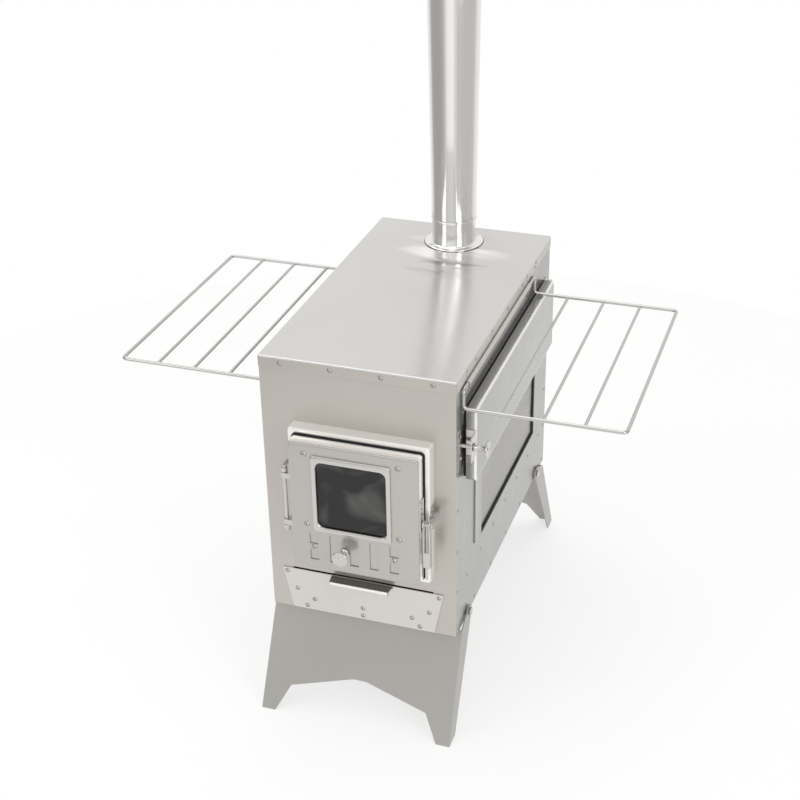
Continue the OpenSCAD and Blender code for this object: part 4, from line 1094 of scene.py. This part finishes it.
@dataclass
class FrontDoor:
    """Front door: collar, pan, window frame, seal and screws.

    Attributes:
        width: width of the pan.
        height: height of the pan.
        x: middle of the pan.
        z: middle of the pan, above the floor sheet.
        depth: depth of the pan.
        corner: corner radius of the pan.
        bend: radius of the pan's rolled edge.
        edge: depth of the pan's piece with the face; the walls are a piece of their own, in a
            lighter finish that paints their highlights.
        collar_depth: how far the collar stands out.
        margin: how far the collar is larger on each side.
        gap: gap between collar and pan.
        window: width and height of the visible glass.
        window_r: corner radius of the glass opening.
        window_off: window's middle from the door's middle.
        rim: width of the raised frame at its sides and along its top, and its height.
        slot: width and height of an air slot.
        pitch: distance between the slots.
        slot_drop: slots' middle below the door's middle.
        slots_off: slots' middle to the left of the door's middle.
        bridge: height of the bridge across an outer slot.
        stem_off: knob's stem to the left of the middle slot's edge.
        stem_gap: half the height of the notch that the stem slides in.
        screws: screws' places beside the glass, above its top and above its bottom.
    """

    width: float = 165.0
    height: float = 177.5
    x: float = 6.0
    z: float = 184.0
    depth: float = 17.0
    corner: float = 3.2
    bend: float = 2.4
    edge: float = 3.0
    collar_depth: float = 17.0
    margin: float = 7.5
    gap: float = 3.0
    window: tuple[float, float] = (89.0, 92.0)
    window_r: float = 9.0
    window_off: tuple[float, float] = (-2.5, 20.0)
    rim: tuple[float, float, float] = (6.0, 9.0, 3.0)
    slot: tuple[float, float] = (11.5, 39.0)
    pitch: float = 26.0
    slot_drop: float = 57.0
    slots_off: float = 1.5
    bridge: float = 8.0
    stem_off: float = 6.5
    stem_gap: float = 2.3
    screws: tuple[float, float, float] = (15.0, 9.0, 1.0)

    @property
    def back_y(self) -> float:
        """Plane of the pan's open side."""
        return -WALL_Y - self.collar_depth - self.gap

    @property
    def face_y(self) -> float:
        """Plane of the pan's face."""
        return self.back_y - self.depth

    @property
    def slots(self) -> Array:
        """Middles of the air slots along u."""
        return (np.arange(5) - 2) * self.pitch - self.slots_off

    def at(self, y: float, u: float = 0.0, v: float = 0.0) -> Point:
        """World point at a depth, by its distance from the pan's middle."""
        return (self.x + u, y, LEG_H + self.z + v)

    def pan(self) -> Shape:
        """The door's pan with its window and its five air slots."""
        wide, high = self.slot
        slot, _ = rounded_loop(wide, high, 0.5, 3)
        half, _ = rounded_loop(wide, (high - self.bridge) / 2, 0.5, 3)
        rise = (high + self.bridge) / 4
        u, v = self.slots, -self.slot_drop
        holes = [rounded_loop(*self.window, self.window_r)[0] + self.window_off]
        holes += [slot + (x, v) for x in u[[1, 3]]]
        holes += [half + (x, v + s * rise) for x in u[[0, 4]] for s in (-1, 1)]
        left, right, top, notch = u[2] - wide / 2, u[2] + wide / 2, high / 2, self.stem_gap
        reach = left - self.stem_off - notch
        holes.append((0, v) + np.array([
            (right, top), (left, top), (left, notch), (reach, notch), (reach, -notch),
            (left, -notch), (left, -top), (right, -top)]))
        return PressedPan(self.width, self.height, self.edge, self.corner, self.bend, holes).shape()

    def walls(self) -> Shape:
        """The pan's four walls below its rolled edge, a piece apart for their painted highlights.
        """
        return PressedPan(self.width, self.height, self.depth, self.corner,
                          self.bend).wall(self.edge)

    def collar(self) -> Shape:
        """Frame behind the door: outer wall, rolled front edge, flat rim and throat."""
        w, h = self.width + 2 * self.margin, self.height + 2 * self.margin
        d, rim, roll, corner = self.collar_depth, 14.0, 1.4, 3.0
        outer, normals = rounded_loop(w, h, corner)
        throat, throat_normals = rounded_loop(w - 2 * rim, h - 2 * rim, corner)
        bend = [(x - roll, z) for x, z in arc((0, d - roll), roll, 0, 90, 6)]
        return Shape.joined([
            carry([(0.0, 0.0), (0.0, d - roll)] + bend, outer, normals),
            plate(outer - roll * normals, [throat], d),
            carry([(0.0, d), (0.0, 0.0)], throat, throat_normals),
            plate(outer, [throat], 0.0)])

    def window_frame(self) -> Shape:
        """Raised frame round the glass, wider along its top: slope, flat crown, rounded rim."""
        w, h = self.window
        side, top, high = self.rim
        inner, _ = rounded_loop(w, h, self.window_r)
        outer, _ = rounded_loop(w + 2 * side, h + side + top, 3.0)
        rows = [(0.0, -SHEET_T), (0.0, 0.9), (0.04, 1.6), (0.14, high - 0.25), (0.24, high),
                (0.78, high), (0.88, high - 0.2), (0.96, high - 0.7), (1.0, high - 1.5),
                (1.0, 0.0), (0.9, -0.2), (0.1, -0.2)]
        return loft(inner, outer + (0, (top - side) / 2), rows)

    def screw_places(self) -> Array:
        """World points of the four screws round the window."""
        u, v = self.window_off
        wide, high = self.window[0] / 2, self.window[1] / 2
        beside, above, inside = self.screws
        side = u + (wide + beside) * np.array([-1, 1, -1, 1])
        up = np.repeat([v + high + above, v - high + inside], 2)
        return Turn.FRONT.place(xyz(side, up, 0.0), self.at(self.face_y))

    def build(self, shop: Workshop) -> None:
        """Makes the pan, its walls, the collar, window frame, seal and screws."""
        seal = woven_tape(self.width + 4, self.height + 4, 6.0, 0.1, self.gap - 0.3)
        face, wall = self.at(self.face_y), self.at(-WALL_Y)
        glass = self.at(self.face_y, *self.window_off)
        rows = (
            ("front_door_pan", self.pan(), face, "door_sheet", "front_door",
             ["front_door_shell"], 50),
            # Painted highlights: the pan's walls and the collar take the lightest finish.
            ("front_door_walls_highlight", self.walls(), face, "bright_fittings", "front_door"),
            ("front_door_frame", self.collar(), wall, "bright_fittings", "stove_body",
             ["front_door_collar"], 50),
            ("window_frame", self.window_frame(), glass, "fittings", "front_door",
             ["front_glass_frame"], 50),
            ("front_door_seal", seal, self.at(-WALL_Y - self.collar_depth), "gasket_rope",
             "stove_body", ["front_door_gasket"], 60),
        )
        for name, shape, place, *looks in rows:
            shop.make(name, shape.moved(Turn.FRONT, place), *looks)
        shop.door_screws(("window_screws", "window_screw_sockets"), self.screw_places(),
                         (3.0, 1.2), (1.8, 0.5, 4.0, 9.6), "front_door_screws")


@dataclass
class AirControl:
    """Knob of the air slider and the two screws that guide it.

    Attributes:
        knob_l: length of the knob.
        knob_r: radius of its disc.
        stem_r: radius of its stem.
    """

    knob_l: float = 18.0
    knob_r: float = 10.5
    stem_r: float = 2.0

    def build(self, shop: Workshop, door: FrontDoor) -> None:
        """Makes the knob in the middle slot and the screw heads in the outer ones."""
        stem = -door.slots_off - door.slot[0] / 2 - door.stem_off
        knob = spool(self.knob_l, self.knob_r, 2.3, self.stem_r)
        seat = door.at(door.face_y - 0.9, stem, -door.slot_drop)
        shop.make("air_control_knob", knob.moved(Turn.FRONT, seat), "fittings", "air_control",
                  ["air_knob"], 40)
        places = [door.at(door.face_y, u, -door.slot_drop) for u in door.slots[[0, 4]]]
        shop.door_screws(("air_guide_screws", "air_guide_sockets"), np.array(places),
                         (3.0, 1.3), (2.0, 0.5, 6.0, 13.4), "slider_guide_screws")


@dataclass
class FrontHinge:
    """Long upright pin at the left of the front door.

    Attributes:
        radius: radius of the pin.
        half: from the door's middle to the knuckles' inner ends.
        knuckle: height of a knuckle.
        lug: height of a lug.
        out: from the door's edge to the pin's axis.
        back: from the pan's open side forwards to the axis.
    """

    radius: float = 2.4
    half: float = 30.0
    knuckle: float = 7.6
    lug: float = 6.0
    out: float = 10.8
    back: float = 5.0

    def build(self, shop: Workshop, door: FrontDoor) -> None:
        """Makes the pin, with its rounded ends."""
        r, half = self.radius, self.half + self.knuckle + 0.8 + self.lug
        upper = [(r, self.half - 1.0), (r, half)] + arc((r - 0.2, half + 1.2), 1.4, -60, 90, 6)
        upper.append((0.0, half + 2.8))
        pin = revolve([(a, -b) for a, b in upper[::-1]] + upper, 28)
        place = door.at(door.back_y - self.back, -door.width / 2 - self.out)
        shop.make("front_hinge_rod", pin.moved(Turn.UP, place), "fittings", "stove_body",
                  ["front_hinge_pin"], 45)


@dataclass
class FrontLatch:
    """Hanging latch on the right of the front door.

    Attributes:
        bar: length of the two bars above the plate.
        bar_t: thickness of a bar.
        plate: height of the plate that joins them.
        tip: length of the tip below the plate.
        eye: radii of a bar's eye, inside and outside.
        nose: size of the nose.
        pivot: pivot before the pan's open side, and below the door's middle.
    """

    bar: float = 39.0
    bar_t: float = 2.0
    plate: float = 22.0
    tip: float = 17.0
    eye: tuple[float, float] = (2.28, 5.2)
    nose: Point = (3.0, 25.0, 8.0)
    pivot: tuple[float, float] = (8.0, 3.0)

    def build(self, shop: Workshop, door: FrontDoor) -> None:
        """Makes the handle: its bars with their eyes, plate and tip, and its nose."""
        edge = door.x + door.width / 2
        nose = edge + door.margin + 1.5
        left, right = edge + 2.2, nose + self.nose[0]
        y, z = door.back_y - self.pivot[0], LEG_H + door.z - self.pivot[1]
        (hole, rim), t, length = self.eye, self.bar_t, self.bar + self.plate - 2
        eye = revolve([(hole, 0), (rim - 0.2, 0), (rim, 0.3), (rim, t - 0.3), (rim - 0.2, t),
                       (hole, t), (hole, 0)], 32)
        parts = []
        for x in (left, right - t):
            parts.append(eye.moved(Turn.RIGHT, (x, y, z)))
            parts.append(rounded_bar((t, 6.0, length), 0.7, (x + t / 2, y, z - 2 - length / 2)))
        middle, wide, top = (left + right) / 2, right - left, z - self.bar
        parts += [
            rounded_bar((wide, 1.6, self.plate), 0.6, (middle, y - 2.3, top - self.plate / 2)),
            rounded_bar((wide - 6.4, 1.5, self.tip + 3), 0.6,
                        (middle, y - 2.2, top - self.plate - self.tip / 2 + 1.5)),
            rounded_bar(self.nose, 0.8, (nose + 1.5, y + 10.5, z))]
        shop.make("front_latch_arm", Shape.joined(parts), "fittings", "front_latch",
                  ["front_latch_handle"], 40)


# ------------------------------------------------------------------ side door and window


@dataclass
class SideDoor:
    """Loading door in the right wall, with its seal and latch.

    Attributes:
        length: length of the pan.
        height: height of the pan.
        inset: distance of its front edge behind the firebox front.
        z: middle above the floor sheet.
        depth: depth of the pan.
        frame_t: thickness of the frame round the opening.
        seal_t: thickness of the seal.
        knob: length of the latch's knob and radius of its disc.
        blade: size of the latch's blade.
        latch_at: latch's axis before the pan's front edge, and above the pan's middle.
    """

    length: float = 386.0
    height: float = 98.0
    inset: float = 26.0
    z: float = 267.5
    depth: float = 13.0
    frame_t: float = 1.5
    seal_t: float = 2.6
    knob: tuple[float, float] = (18.0, 10.5)
    blade: Point = (1.8, 2.6, 12.0)
    latch_at: tuple[float, float] = (10.0, 5.5)

    @property
    def back_x(self) -> float:
        """Plane of the pan's open side."""
        return WALL_X + self.frame_t + self.seal_t + 0.3

    def build(self, shop: Workshop) -> None:
        """Makes the pan with painted highlights along its bends, its seal and the latch."""
        y, z = FRONT_Y + self.inset + self.length / 2, LEG_H + self.z
        pan = PressedPan(self.length, self.height, self.depth, 5.0, 2.2)
        face = (self.back_x + self.depth, y, z)
        shop.make("side_door_pan", pan.shape().moved(Turn.RIGHT, face), "side_door_sheet",
                  "side_door", ["side_door_shell"], 50)
        # Painted highlight: a bright skin over the pan's bends.
        shop.make("side_door_bend_highlight", pan.bend_highlight().moved(Turn.RIGHT, face), "bright_fittings",
                  "side_door")
        seal = woven_tape(self.length - 3, self.height - 3, 8.0, 0.9, self.frame_t + self.seal_t)
        shop.make("side_door_seal", seal.moved(Turn.RIGHT, (WALL_X, y, z)), "gasket_rope",
                  "stove_body", ["side_door_gasket"], 60)
        self.latch(shop)

    def latch(self, shop: Workshop) -> None:
        """Makes the quarter-turn latch: knob, shaft, collar and blade."""
        y, z = FRONT_Y + self.inset - self.latch_at[0], LEG_H + self.z + self.latch_at[1]
        seat = self.back_x + 13.2
        blade_x = WALL_X - SHEET_T - 2.2
        knob = spool(*self.knob, seat - blade_x, 2.5).moved(Turn.RIGHT, (seat, y, z))
        blade = rounded_bar(self.blade, 0.3, (blade_x + self.blade[0] / 2, y, z))
        stop = revolve([(2.4, 0), (4.4, 0), (4.4, 1.5), (2.4, 1.5)], 24)
        stop = stop.moved(Turn.RIGHT, (seat - 3.2, y, z))
        shop.make("side_latch_turn_knob", Shape.joined([knob, blade, stop]), "fittings",
                  "side_latch", ["side_latch_knob"], 40)


@dataclass
class SideWindow:
    """Fixed window in the right wall below the loading door.

    Attributes:
        size: length and height of the opening.
        inset: distance behind the firebox front.
        z: lower edge above the floor sheet.
        lip: how far the seal stands in over the glass.
    """

    size: tuple[float, float] = (272.0, 120.0)
    inset: float = 114.0
    z: float = 84.0
    lip: float = 4.6

    def build(self, shop: Workshop) -> None:
        """Makes the woven seal that shows round the opening's edges."""
        length, height = self.size
        lip = self.lip
        profile = [(lip + 6, 0.0), (lip + 6, 2.0), (2.8, 2.0), (0.8, 1.7), (0.0, 0.9), (0.2, 0.0)]
        seal = carry(profile, *rounded_loop(length - 2 * lip, height - 2 * lip, 1.0, 3), True)
        place = (WALL_X - SHEET_T - 2, FRONT_Y + self.inset + length / 2,
                 LEG_H + self.z + height / 2)
        shop.make("side_window_seal", seal.moved(Turn.RIGHT, place), "gasket_rope", "stove_body",
                  ["side_window_gasket"], 60)


# ------------------------------------------------------------------ racks


@dataclass
class Rack:
    """Folding wire rack, drawn for the right side and mirrored for the left.

    Attributes:
        radius: radius of the wire.
        reach: reach beyond the lid.
        inset: distance of the front arm behind the firebox front.
        length: distance between the arms.
        z: height of the wire above the floor sheet.
        drop: height of the pivot above the wire.
        bend: bend radius.
        rods: number of cross rods.
        pin: length of a pivot pin.
        bead: half sizes of a weld bead.
        rail_ends: distances of the rail's ends inside the two arms.
        rail_rivets: places of the rail's rivets, as shares of its length.
        rivet_drop: their height below the pivot.
    """

    radius: float = 2.25
    reach: float = 195.0
    inset: float = 21.3
    length: float = 335.8
    z: float = 319.5
    drop: float = 25.5
    bend: float = 6.0
    rods: int = 3
    pin: float = 44.0
    bead: Point = (3.1, 2.5, 1.9)
    rail_ends: tuple[float, float] = (16.0, 32.0)
    rail_rivets: tuple[float, ...] = (0.06, 0.28, 0.50, 0.72, 0.94)
    rivet_drop: float = 11.0

    def shape(self, side: int) -> Shape:
        """Bent wire, cross rods and their weld beads, on the given side of the stove."""
        px, out = WALL_X + self.radius + 0.35, BODY_W / 2 + self.reach
        z = LEG_H + self.z
        pz = z + self.drop
        y0 = FRONT_Y + self.inset
        y1 = y0 + self.length
        corners = [(px, y0 + self.pin, pz), (px, y0, pz), (px, y0, z), (out, y0, z),
                   (out, y1, z), (px, y1, z), (px, y1, pz), (px, y1 - self.pin, pz)]
        parts = [wire(bent_path(corners, self.bend), self.radius, 16)]
        ball = revolve([(r, w) for w, r in arc((0, 0), 1.0, 0, 180, 9)], 14)
        for i in range(1, self.rods + 1):
            x = BODY_W / 2 + self.reach * i / (self.rods + 1)
            rod = xyz(x, [y0 + 0.3, (y0 + y1) / 2, y1 - 0.3], z)
            parts.append(wire(rod, self.radius - 0.3))
            parts += [Shape(ball.points * self.bead + (x, y, z), ball.faces)
                      for y in (y0 + 1.9, y1 - 1.9)]
        shape = Shape.joined(parts)
        return Shape(shape.points * (side, 1, 1), shape.faces)

    def build(self, shop: Workshop) -> None:
        """Makes both racks and the rivets of their rails."""
        rail = self.length - sum(self.rail_ends)
        y = FRONT_Y + self.inset + self.rail_ends[0] + rail * np.array(self.rail_rivets)
        z = LEG_H + self.z + self.drop - self.rivet_drop
        heads = []
        for name, (side, turn) in zip(("right", "left"), SIDES):
            shop.make(f"{name}_wire_rack", self.shape(side), "rack_wire", f"{name}_rack",
                      [f"{name}_rack"], 60)
            heads.append((xyz(side * (WALL_X + SHEET_T), y, z), turn, 2.5, 1.1))
        shop.rivets("rack_rivets", heads, "stove_body", "rack_rail_rivets")


# ------------------------------------------------------------------ ash drawer


@dataclass
class AshDrawer:
    """Front plate of the ash drawer, with its folded pull and rivets.

    Attributes:
        half_top: half the width along the upper edge.
        taper: how much narrower each side is below.
        height: height of the plate.
        pull: width of the pull.
        out: how far the pull stands out.
        thickness: thickness of the plate.
        lift: height of the plate's lower edge above the floor sheet.
        rivets: places of the rivets across and above the floor sheet.
    """

    half_top: float = 108.0
    taper: float = 12.0
    height: float = 60.0
    pull: float = 82.0
    out: float = 16.0
    thickness: float = 1.5
    lift: float = 1.0
    rivets: tuple[tuple[float, float], ...] = (
        (-89, 31), (89, 31), (-66, 18), (66, 18), (-76.5, 6.5), (76.5, 6.5), (0, 18), (0, 6.5),
        (-102, 56), (102, 56))

    def plate_shape(self) -> Shape:
        """Trapezoid plate with a bevelled outline, as a sheet of its full thickness."""
        a, b, h, t = self.half_top, self.half_top - self.taper, self.height, self.thickness
        outline = np.array([(-b, 0), (b, 0), (a, h), (-a, h)], float)
        along = np.linspace(0, 1, 12, endpoint=False)[:, None]
        loop = np.concatenate([p + (q - p) * along
                               for p, q in zip(outline, np.roll(outline, -1, axis=0))])
        inset = loop + ((0, h / 2) - loop) * 0.006
        wall = Shape.grid(np.stack([xyz(*loop.T, 0.0), xyz(*loop.T, t - 0.3), xyz(*inset.T, t)]))
        return Shape.joined([wall, plate(inset, [], t), plate(loop, [], 0.0)])

    def pull_shape(self) -> Shape:
        """Tab folded out of the plate's upper edge, with a folded hem.

        The profile runs out of the plate, over a bend, along the tab and down the hem; it
        is carried straight across, and its two ends are drawn in along the tab.
        """
        h, t, out, r, hem_r, cols = self.height, self.thickness, self.out, 1.9, 1.8, 9
        profile = [(0.4, h - 2.0)] + arc((t + r, h - r), r, 180, 90, 6) + [(out - hem_r, h)]
        profile += arc((out - hem_r, h - hem_r), hem_r, 90, 0, 6)
        profile += [(out, h - 4.5), (out - t, h - 4.5), (out - t, h - 2.2), (out - 2.2, h - t),
                    (t + r, h - t), (t + 0.6, h - 2.2), (t, h - 4.0)]
        w, v = np.array(profile).T[:, :, None]
        x = np.linspace(-1, 1, cols) * self.pull / 2
        draw = 1 - 0.05 * np.clip((w - t) / out, 0, 1)
        tab = Shape.grid(xyz(x * draw, v, w), wrap_rows=True, wrap_cols=False)
        column = np.arange(len(profile)) * cols
        ends = [np.array([column]), np.array([column[::-1] + cols - 1])]
        return Shape(tab.points, tab.faces + ends)

    def build(self, shop: Workshop) -> None:
        """Makes the front plate, its pull with the hem, and the rivets; the pull's dark finish
        paints the shade on its top, and a bright strip paints the hem's highlight.
        """
        y = -WALL_Y - 0.2
        seat = (0, y, LEG_H + self.lift)
        shop.make("drawer_front", self.plate_shape().moved(Turn.FRONT, seat), "drawer_sheet",
                  "ash_drawer", ["ash_drawer_front"], 40)
        # Painted shade: the pull takes the dark inner finish.
        shop.make("drawer_pull", self.pull_shape().moved(Turn.FRONT, seat), "inner_sheet",
                  "ash_drawer")
        # Painted highlight: a bright strip along the hem.
        hem_highlight = rounded_bar((self.pull * 0.95, 0.9, 4.2), 0.35,
                          (0, y - self.out + 0.4, seat[2] + self.height - 2.4))
        shop.make("drawer_pull_hem_highlight", hem_highlight, "bright_fittings", "ash_drawer")
        places = np.array([(x, y - self.thickness, LEG_H + z) for x, z in self.rivets])
        shop.rivets("drawer_rivets", [(places, Turn.FRONT, 2.6, 1.1)], "ash_drawer",
                    "ash_drawer_rivets")


# ------------------------------------------------------------------ studio and camera


@dataclass(frozen=True)
class Softbox:
    """Rectangular lamp that faces the stove.

    Attributes:
        name: name of the lamp.
        place: its place, in metres.
        size: width and height, in metres.
        watts: its power.
        warmth: its colour.
        aim: point that it faces, in metres.
    """

    name: str
    place: Point
    size: tuple[float, float]
    watts: float
    warmth: Colour = (1.0, 1.0, 1.0)
    aim: Point = (0.0, 0.0, 0.35)

    def build(self) -> None:
        """Adds the lamp, turned towards the middle of the stove."""
        lamp = bpy.data.lights.new(self.name, "AREA")
        lamp.shape = "RECTANGLE"
        lamp.size, lamp.size_y = self.size
        lamp.energy = self.watts
        lamp.color = self.warmth
        obj = added(self.name, lamp)
        obj.location = self.place
        towards = Vector(self.aim) - Vector(self.place)
        obj.rotation_euler = towards.to_track_quat("-Z", "Y").to_euler()


@dataclass
class Studio:
    """Camera, lamps, pale floor and the pale surroundings that the steel reflects.

    Attributes:
        azimuth: camera's direction round the stove, in degrees.
        elevation: camera's height angle, in degrees.
        roll: camera's roll, in degrees.
        target: point that the camera looks at.
        distance: from that point to the camera.
        focal_px: focal length in pixels of the photograph's frame.
        frame_px: width of that frame in pixels.
        air: colour of the light from all round.
        air_level: strength of that light.
        floor_glow: share of plain white in the floor, as the camera sees it.
        panels: place round the compass, as a share of the turn, and brightness of the
            surroundings that mirror rays see.
        lamps: the softboxes.
    """

    azimuth: float = 19.21
    elevation: float = 28.905
    roll: float = -1.095
    target: Point = (32.03, -160.50, 431.16)
    distance: float = 1850.3
    focal_px: float = 1512.7
    frame_px: float = 800.0
    air: Colour = (1.0, 0.99, 0.975)
    air_level: float = 0.78
    floor_glow: float = 0.70
    panels: tuple[tuple[float, float], ...] = (
        (0.00, 0.36), (0.06, 0.34), (0.11, 0.34), (0.17, 0.42), (0.21, 1.0), (0.31, 1.0),
        (0.35, 0.50), (0.46, 0.54), (0.58, 0.50), (0.63, 0.90), (0.80, 0.95), (0.93, 0.90),
        (0.965, 0.40), (1.0, 0.36))
    lamps: tuple[Softbox, ...] = (
        Softbox("top_softbox", (-0.5, 0.2, 2.4), (2.4, 2.4), 21.0),
        Softbox("front_softbox", (-1.5, -1.9, 1.2), (0.9, 1.4), 7.0, (1.0, 0.98, 0.95)),
        Softbox("right_softbox", (1.7, -1.5, 1.1), (0.8, 1.6), 13.0),
    )

    def camera(self) -> None:
        """Adds the camera at the photograph's viewing angle."""
        az, el, roll = (math.radians(v) for v in (self.azimuth, self.elevation, self.roll))
        back = Vector((math.sin(az) * math.cos(el), -math.cos(az) * math.cos(el), math.sin(el)))
        right = Vector((0, 0, 1)).cross(back).normalized()
        up = back.cross(right)
        side = right * math.cos(roll) + up * math.sin(roll)
        top = up * math.cos(roll) - right * math.sin(roll)
        place = (Vector(self.target) + back * self.distance) * MM
        data = bpy.data.cameras.new("photo_camera")
        data.sensor_fit = "HORIZONTAL"
        data.sensor_width = 36.0
        data.lens = self.focal_px * data.sensor_width / self.frame_px
        data.clip_start = 0.05
        obj = added("photo_camera", data)
        obj.matrix_world = Matrix((*zip(side, top, back, place), (0, 0, 0, 1)))
        bpy.context.scene.camera = obj

    def surroundings(self) -> None:
        """Sets the world: a plain level of light, and the pale studio that shows.

        Camera, mirror and see-through rays see the white background. For mirror rays it
        carries soft grey panels, by compass direction, as a studio's open sides do.
        """
        world = bpy.data.worlds.new("pale_studio")
        world.use_nodes = True
        n = Nodes(world.node_tree)
        light = n.add("ShaderNodeBackground", {"Color": (*self.air, 1.0),
                                               "Strength": self.air_level})
        direction = n.add("ShaderNodeTexCoord").outputs["Generated"]
        ahead = n.add("ShaderNodeSeparateXYZ", {0: direction})
        compass = n.maths("ARCTAN2", ahead.outputs["Y"], ahead.outputs["X"])
        panels = n.ramp(n.spread(compass, 0.0, 1.0, -math.pi, math.pi),
                        [(place, scaled(self.air, level)) for place, level in self.panels],
                        "B_SPLINE")
        mirror = n.add("ShaderNodeLightPath").outputs["Is Glossy Ray"]
        shown = n.add("ShaderNodeBackground", {"Color": n.mix(mirror, (1, 1, 1, 1), panels)})
        both = n.add("ShaderNodeMixShader",
                     {0: n.shown_rays(), 1: light.outputs[0], 2: shown.outputs[0]})
        n.add("ShaderNodeOutputWorld", {"Surface": both.outputs[0]})
        bpy.context.scene.world = world

    def floor(self) -> None:
        """Adds the pale floor, a disc that fades into the background and keeps shadows."""
        a = round_angles(FINE_ROUND)
        r = np.array([0.02, 0.4, 0.8, 1.2])[:, None]
        disc = Shape.grid(xyz(r * np.cos(a), r * np.sin(a), 0.0))
        faces = disc.faces[0].tolist() + [list(range(FINE_ROUND))]
        mesh = bpy.data.meshes.new("floor")
        mesh.from_pydata(disc.points.tolist(), [], faces)
        n = Finish("pale_floor")
        tone = n.ramp(n.noise((3.0, 3.0, 3.0), 2.0), [(0.3, grey(0.90)), (0.7, grey(0.93))])
        n.feed(n.shader, {"Roughness": 0.9, "Base Color": tone, "Specular IOR Level": 0.0})
        share = n.maths("MULTIPLY", n.shown_rays(), self.floor_glow)
        glow = n.add("ShaderNodeEmission", {"Strength": 1.0})
        both = n.add("ShaderNodeMixShader",
                     {0: share, 1: n.shader.outputs[0], 2: glow.outputs[0]})
        n.feed(n.output, {"Surface": both.outputs[0]})
        mesh.materials.append(n.material)
        added("floor", mesh)

    def build(self) -> None:
        """Adds everything that isn't part of the stove."""
        bpy.context.scene.view_settings.view_transform = "Standard"
        self.camera()
        self.surroundings()
        self.floor()
        for lamp in self.lamps:
            lamp.build()


def main() -> None:
    """Builds the studio and every sub-assembly in order."""
    logging.basicConfig(level=logging.INFO, format="%(name)s %(message)s", stream=sys.stdout)
    Studio().build()
    shop = Workshop(frame["record"], frame["nodes"])
    shop.dress_nodes()
    flue, door = Flue(), FrontDoor()
    Lid().build(shop, flue)
    for part in (flue, WallRivets(), door):
        part.build(shop)
    for part in (AirControl(), FrontHinge(), FrontLatch()):
        part.build(shop, door)
    for part in (SideDoor(), SideWindow(), Rack(), AshDrawer()):
        part.build(shop)
    for row in SOFTENED:
        shop.soften(*row)
    log.info("%d pieces made", shop.count)


if __name__ == "__main__":
    main()
